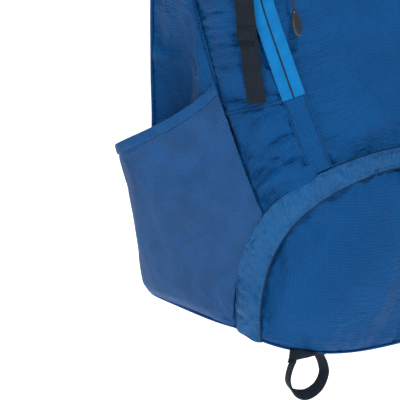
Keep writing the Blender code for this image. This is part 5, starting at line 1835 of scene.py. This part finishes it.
# Cross section of a shoulder pad, in shares of its width and thickness.
PAD_OUTLINE = tuple(
    (0.5 * math.copysign(abs(math.cos(a)) ** 0.32, math.cos(a)),
     0.5 * math.copysign(abs(math.sin(a)) ** 0.75, math.sin(a)))
    for a in np.linspace(0.0, 2 * math.pi, 40, endpoint=False)
)


SHOULDER_SAMPLES = 150
COVER_RISE = 0.8
LADDER_PITCH = 48.0
LADDER_SPAN = (0.17, 0.86)
SHOULDER_WEB = 20.0
LOCK_PLACE = (75.6, 122.6, 167.0)
# The lower strap: place, direction across on the right side.
ADJUSTER_PATH = (
    (76.5, 120.4, 155.0, 1.0, 0.0, 0.0),
    (86.0, 117.6, 122.0, 1.0, 0.0, 0.3),
    (101.0, 113.6, 82.0, 1.0, -0.15, 0.4),
    (110.0, 109.6, 58.0, 1.0, -0.25, 0.4),
)
# The two halves of the chest strap: name, x of its outer and inner ends, and body.
CHEST_SPANS = (("left", -78.0, -11.8, "sternum_half"), ("right", 78.0, 28.0, "shoulder_right"))


def shoulder_pad(word, side, seed):
    """Foam pad with a cloth cover on its outer face, bound edges and a ladder of webbing."""
    body = "shoulder_" + word
    controls = [(side * x, y, z, *RIGHT, width, depth) for x, y, z, width, depth in SHOULDER_PATH]
    pad = strap("shoulder_foam_" + word, controls, SHOULDER_SAMPLES, PAD_OUTLINE)
    add(pad, "padding", "padding", body, "shoulder_pad_" + word)
    centre, across, normal, width, depth = sweep_frames(controls, SHOULDER_SAMPLES)
    halfway = SHOULDER_SAMPLES // 2
    if normal[halfway][1] < 0.0:
        normal = -normal
    rows = [centre + across * (share * 0.46 * width)[:, None]
            + normal * (depth * 0.5 * (1.0 - 0.22 * share**4) + COVER_RISE)[:, None]
            for share in np.linspace(-1.0, 1.0, 25)]
    grid = np.stack(rows, 1)
    patch = Patch(grid)
    if patch.normals[halfway, len(rows) // 2][1] < 0.0:
        patch = Patch(grid[:, ::-1])
    patch.lift(0.25 * noise(patch.low / 8.0, patch.left / 30.0, seed))
    cover = shell_mesh("shoulder_cover_" + word, patch, 1.1)
    add(cover, "ripstop", "ripstop", body)
    for which, way in ((-1.0, "inner"), (1.0, "outer")):
        edge = centre + across * (which * 0.492 * width)[:, None]
        tape = [(*edge[i], *normal[i], 0.92 * depth[i] + 2.0, 2.6)
                for i in range(0, SHOULDER_SAMPLES + 1, 3)]
        add(strap(f"shoulder_binding_{way}_{word}", tape, 160), "base_cloth", "padding", body)
    # The ladder is sewn down once in each pitch, and stands off the cover between.
    low, high = (int(share * SHOULDER_SAMPLES) for share in LADDER_SPAN)
    middle = centre + normal * (depth * 0.5 + 2.1)[:, None]
    arc = 0.5 - 0.5 * np.cos(2 * np.pi * distances(middle) / LADDER_PITCH)
    middle = middle + normal * (1.1 * arc)[:, None]
    path = [control(middle[i], across[i], SHOULDER_WEB, WEBBING) for i in range(low, high, 3)]
    webbing("shoulder_ladder_" + word, path, 200, body)


def ladder_lock(word, side):
    """Ladder lock at the pad's foot."""
    lean = np.array((side * -0.05, 0.22, 1.0))
    slots = [rounded(18.6, 3.2, 1.3, (0.0, y)) for y in (-3.25, 3.25)]
    place = np.array(LOCK_PLACE) * (side, 1.0, 1.0)
    made = plate(rounded(29.6, 15.6, 2.6), slots, 3.8, place, RIGHT, lean, 0.8)
    made.name = "strap_lock_" + word
    add(made, "buckle_plastic", "buckle_plastic", "shoulder_" + word, "ladder_lock_" + word)


def make_shoulder_straps():
    for k, (word, side) in enumerate(SIDES):
        shoulder_pad(word, side, 560 + k)
        ladder_lock(word, side)
        path = [(side * x, y, z, a, side * b, side * c, SHOULDER_WEB, WEBBING)
                for x, y, z, a, b, c in ADJUSTER_PATH]
        webbing("adjuster_webbing_" + word, path, 60, "pack", "shoulder_webbing_" + word)
    for word, outer_x, inner_x, body in CHEST_SPANS:
        places = ((outer_x, -3.0), ((outer_x + inner_x) / 2, -1.0), (inner_x, 0.0))
        path = [(x, STERNUM_Y + y, STERNUM_Z, *UP, SHOULDER_WEB, WEBBING) for x, y in places]
        webbing("chest_webbing_" + word, path, 40, body, "sternum_webbing_" + word)


# ---------------------------------------------------------------- camera, light and floor


def look_at(made, target):
    direction = Vector(target) - made.location
    made.rotation_euler = direction.to_track_quat("-Z", "Y").to_euler()


def area_light(name, location, size, watts):
    data = bpy.data.lights.new(name, "AREA")
    data.shape = "DISK"
    data.size = size
    data.energy = watts
    made = linked(name, data)
    made.location = location
    look_at(made, LIGHT_TARGET)


VIEW_TARGET = metres((-129.4, 17.4, 133.6))
VIEW_BACK = np.array((-0.5548, -0.7923, 0.2538))
VIEW_DISTANCE = 2.2
LENS_MM = 208.0
SENSOR_MM = 36.0
WORLD_LIGHT = 0.28
LIGHT_TARGET = (0.0, -0.05, -0.25)
# Each light's name, place, size in metres and power in watts.
LIGHTS = (
    ("key", (-0.4, -1.3, 1.7), 0.5, 34.0),
    ("fill", (-1.9, -0.9, 0.1), 1.4, 7.0),
    ("back", (0.6, 1.8, 1.1), 1.4, 14.0),
)
FLOOR_DROP = 0.45
FLOOR_HALF = 6.0
FLOOR_GLOW = 0.8


def make_studio():
    data = bpy.data.cameras.new("camera")
    data.lens = LENS_MM
    data.sensor_width = SENSOR_MM
    camera = linked("camera", data)
    camera.location = VIEW_TARGET + VIEW_BACK * VIEW_DISTANCE
    look_at(camera, VIEW_TARGET)
    bpy.context.scene.camera = camera

    world = bpy.data.worlds.new("studio")
    world.use_nodes = True
    tree = world.node_tree
    background = tree.nodes["Background"]
    background.inputs["Color"].default_value = (1.0, 1.0, 1.0, 1.0)
    seen = tree.nodes.new("ShaderNodeLightPath").outputs["Is Camera Ray"]
    strength = tree.nodes.new("ShaderNodeMapRange")
    strength.inputs["To Min"].default_value = WORLD_LIGHT
    strength.inputs["To Max"].default_value = 1.0
    tree.links.new(seen, strength.inputs["Value"])
    tree.links.new(strength.outputs["Result"], background.inputs["Strength"])
    bpy.context.scene.world = world
    bpy.context.scene.view_settings.view_transform = "Standard"

    for light in LIGHTS:
        area_light(*light)

    floor_z = float(metres((0.0, 0.0, 0.0))[2]) - FLOOR_DROP
    mesh = bpy.data.meshes.new("floor")
    corners = [(x * FLOOR_HALF, y * FLOOR_HALF, floor_z)
               for x, y in ((-1, -1), (1, -1), (1, 1), (-1, 1))]
    mesh.from_pydata(corners, [], [(0, 1, 2, 3)])
    floor = linked("floor", mesh)
    g = Graph("floor")
    shade_of = g.mix(g.speckle(300.0), (0.88, 0.88, 0.88), (0.92, 0.92, 0.92))
    g.shader.inputs["Emission Color"].default_value = (1.0, 1.0, 1.0, 1.0)
    mesh.materials.append(g.finish(shade_of, 0.9, Emission_Strength=FLOOR_GLOW))


def build():
    make_studio()
    make_side_cloth()
    make_front_and_back()
    make_compartment()
    make_arch_band()
    make_seams()
    make_base()
    make_collar()
    make_pockets()
    make_zips()
    make_arch_zip()
    make_lid_straps()
    make_loops()
    make_sliders()
    make_buckles()
    make_lid_wall()
    make_lid_pocket()
    make_lid_zip()
    make_lid_hinge()
    make_back()
    make_shoulder_straps()


build()
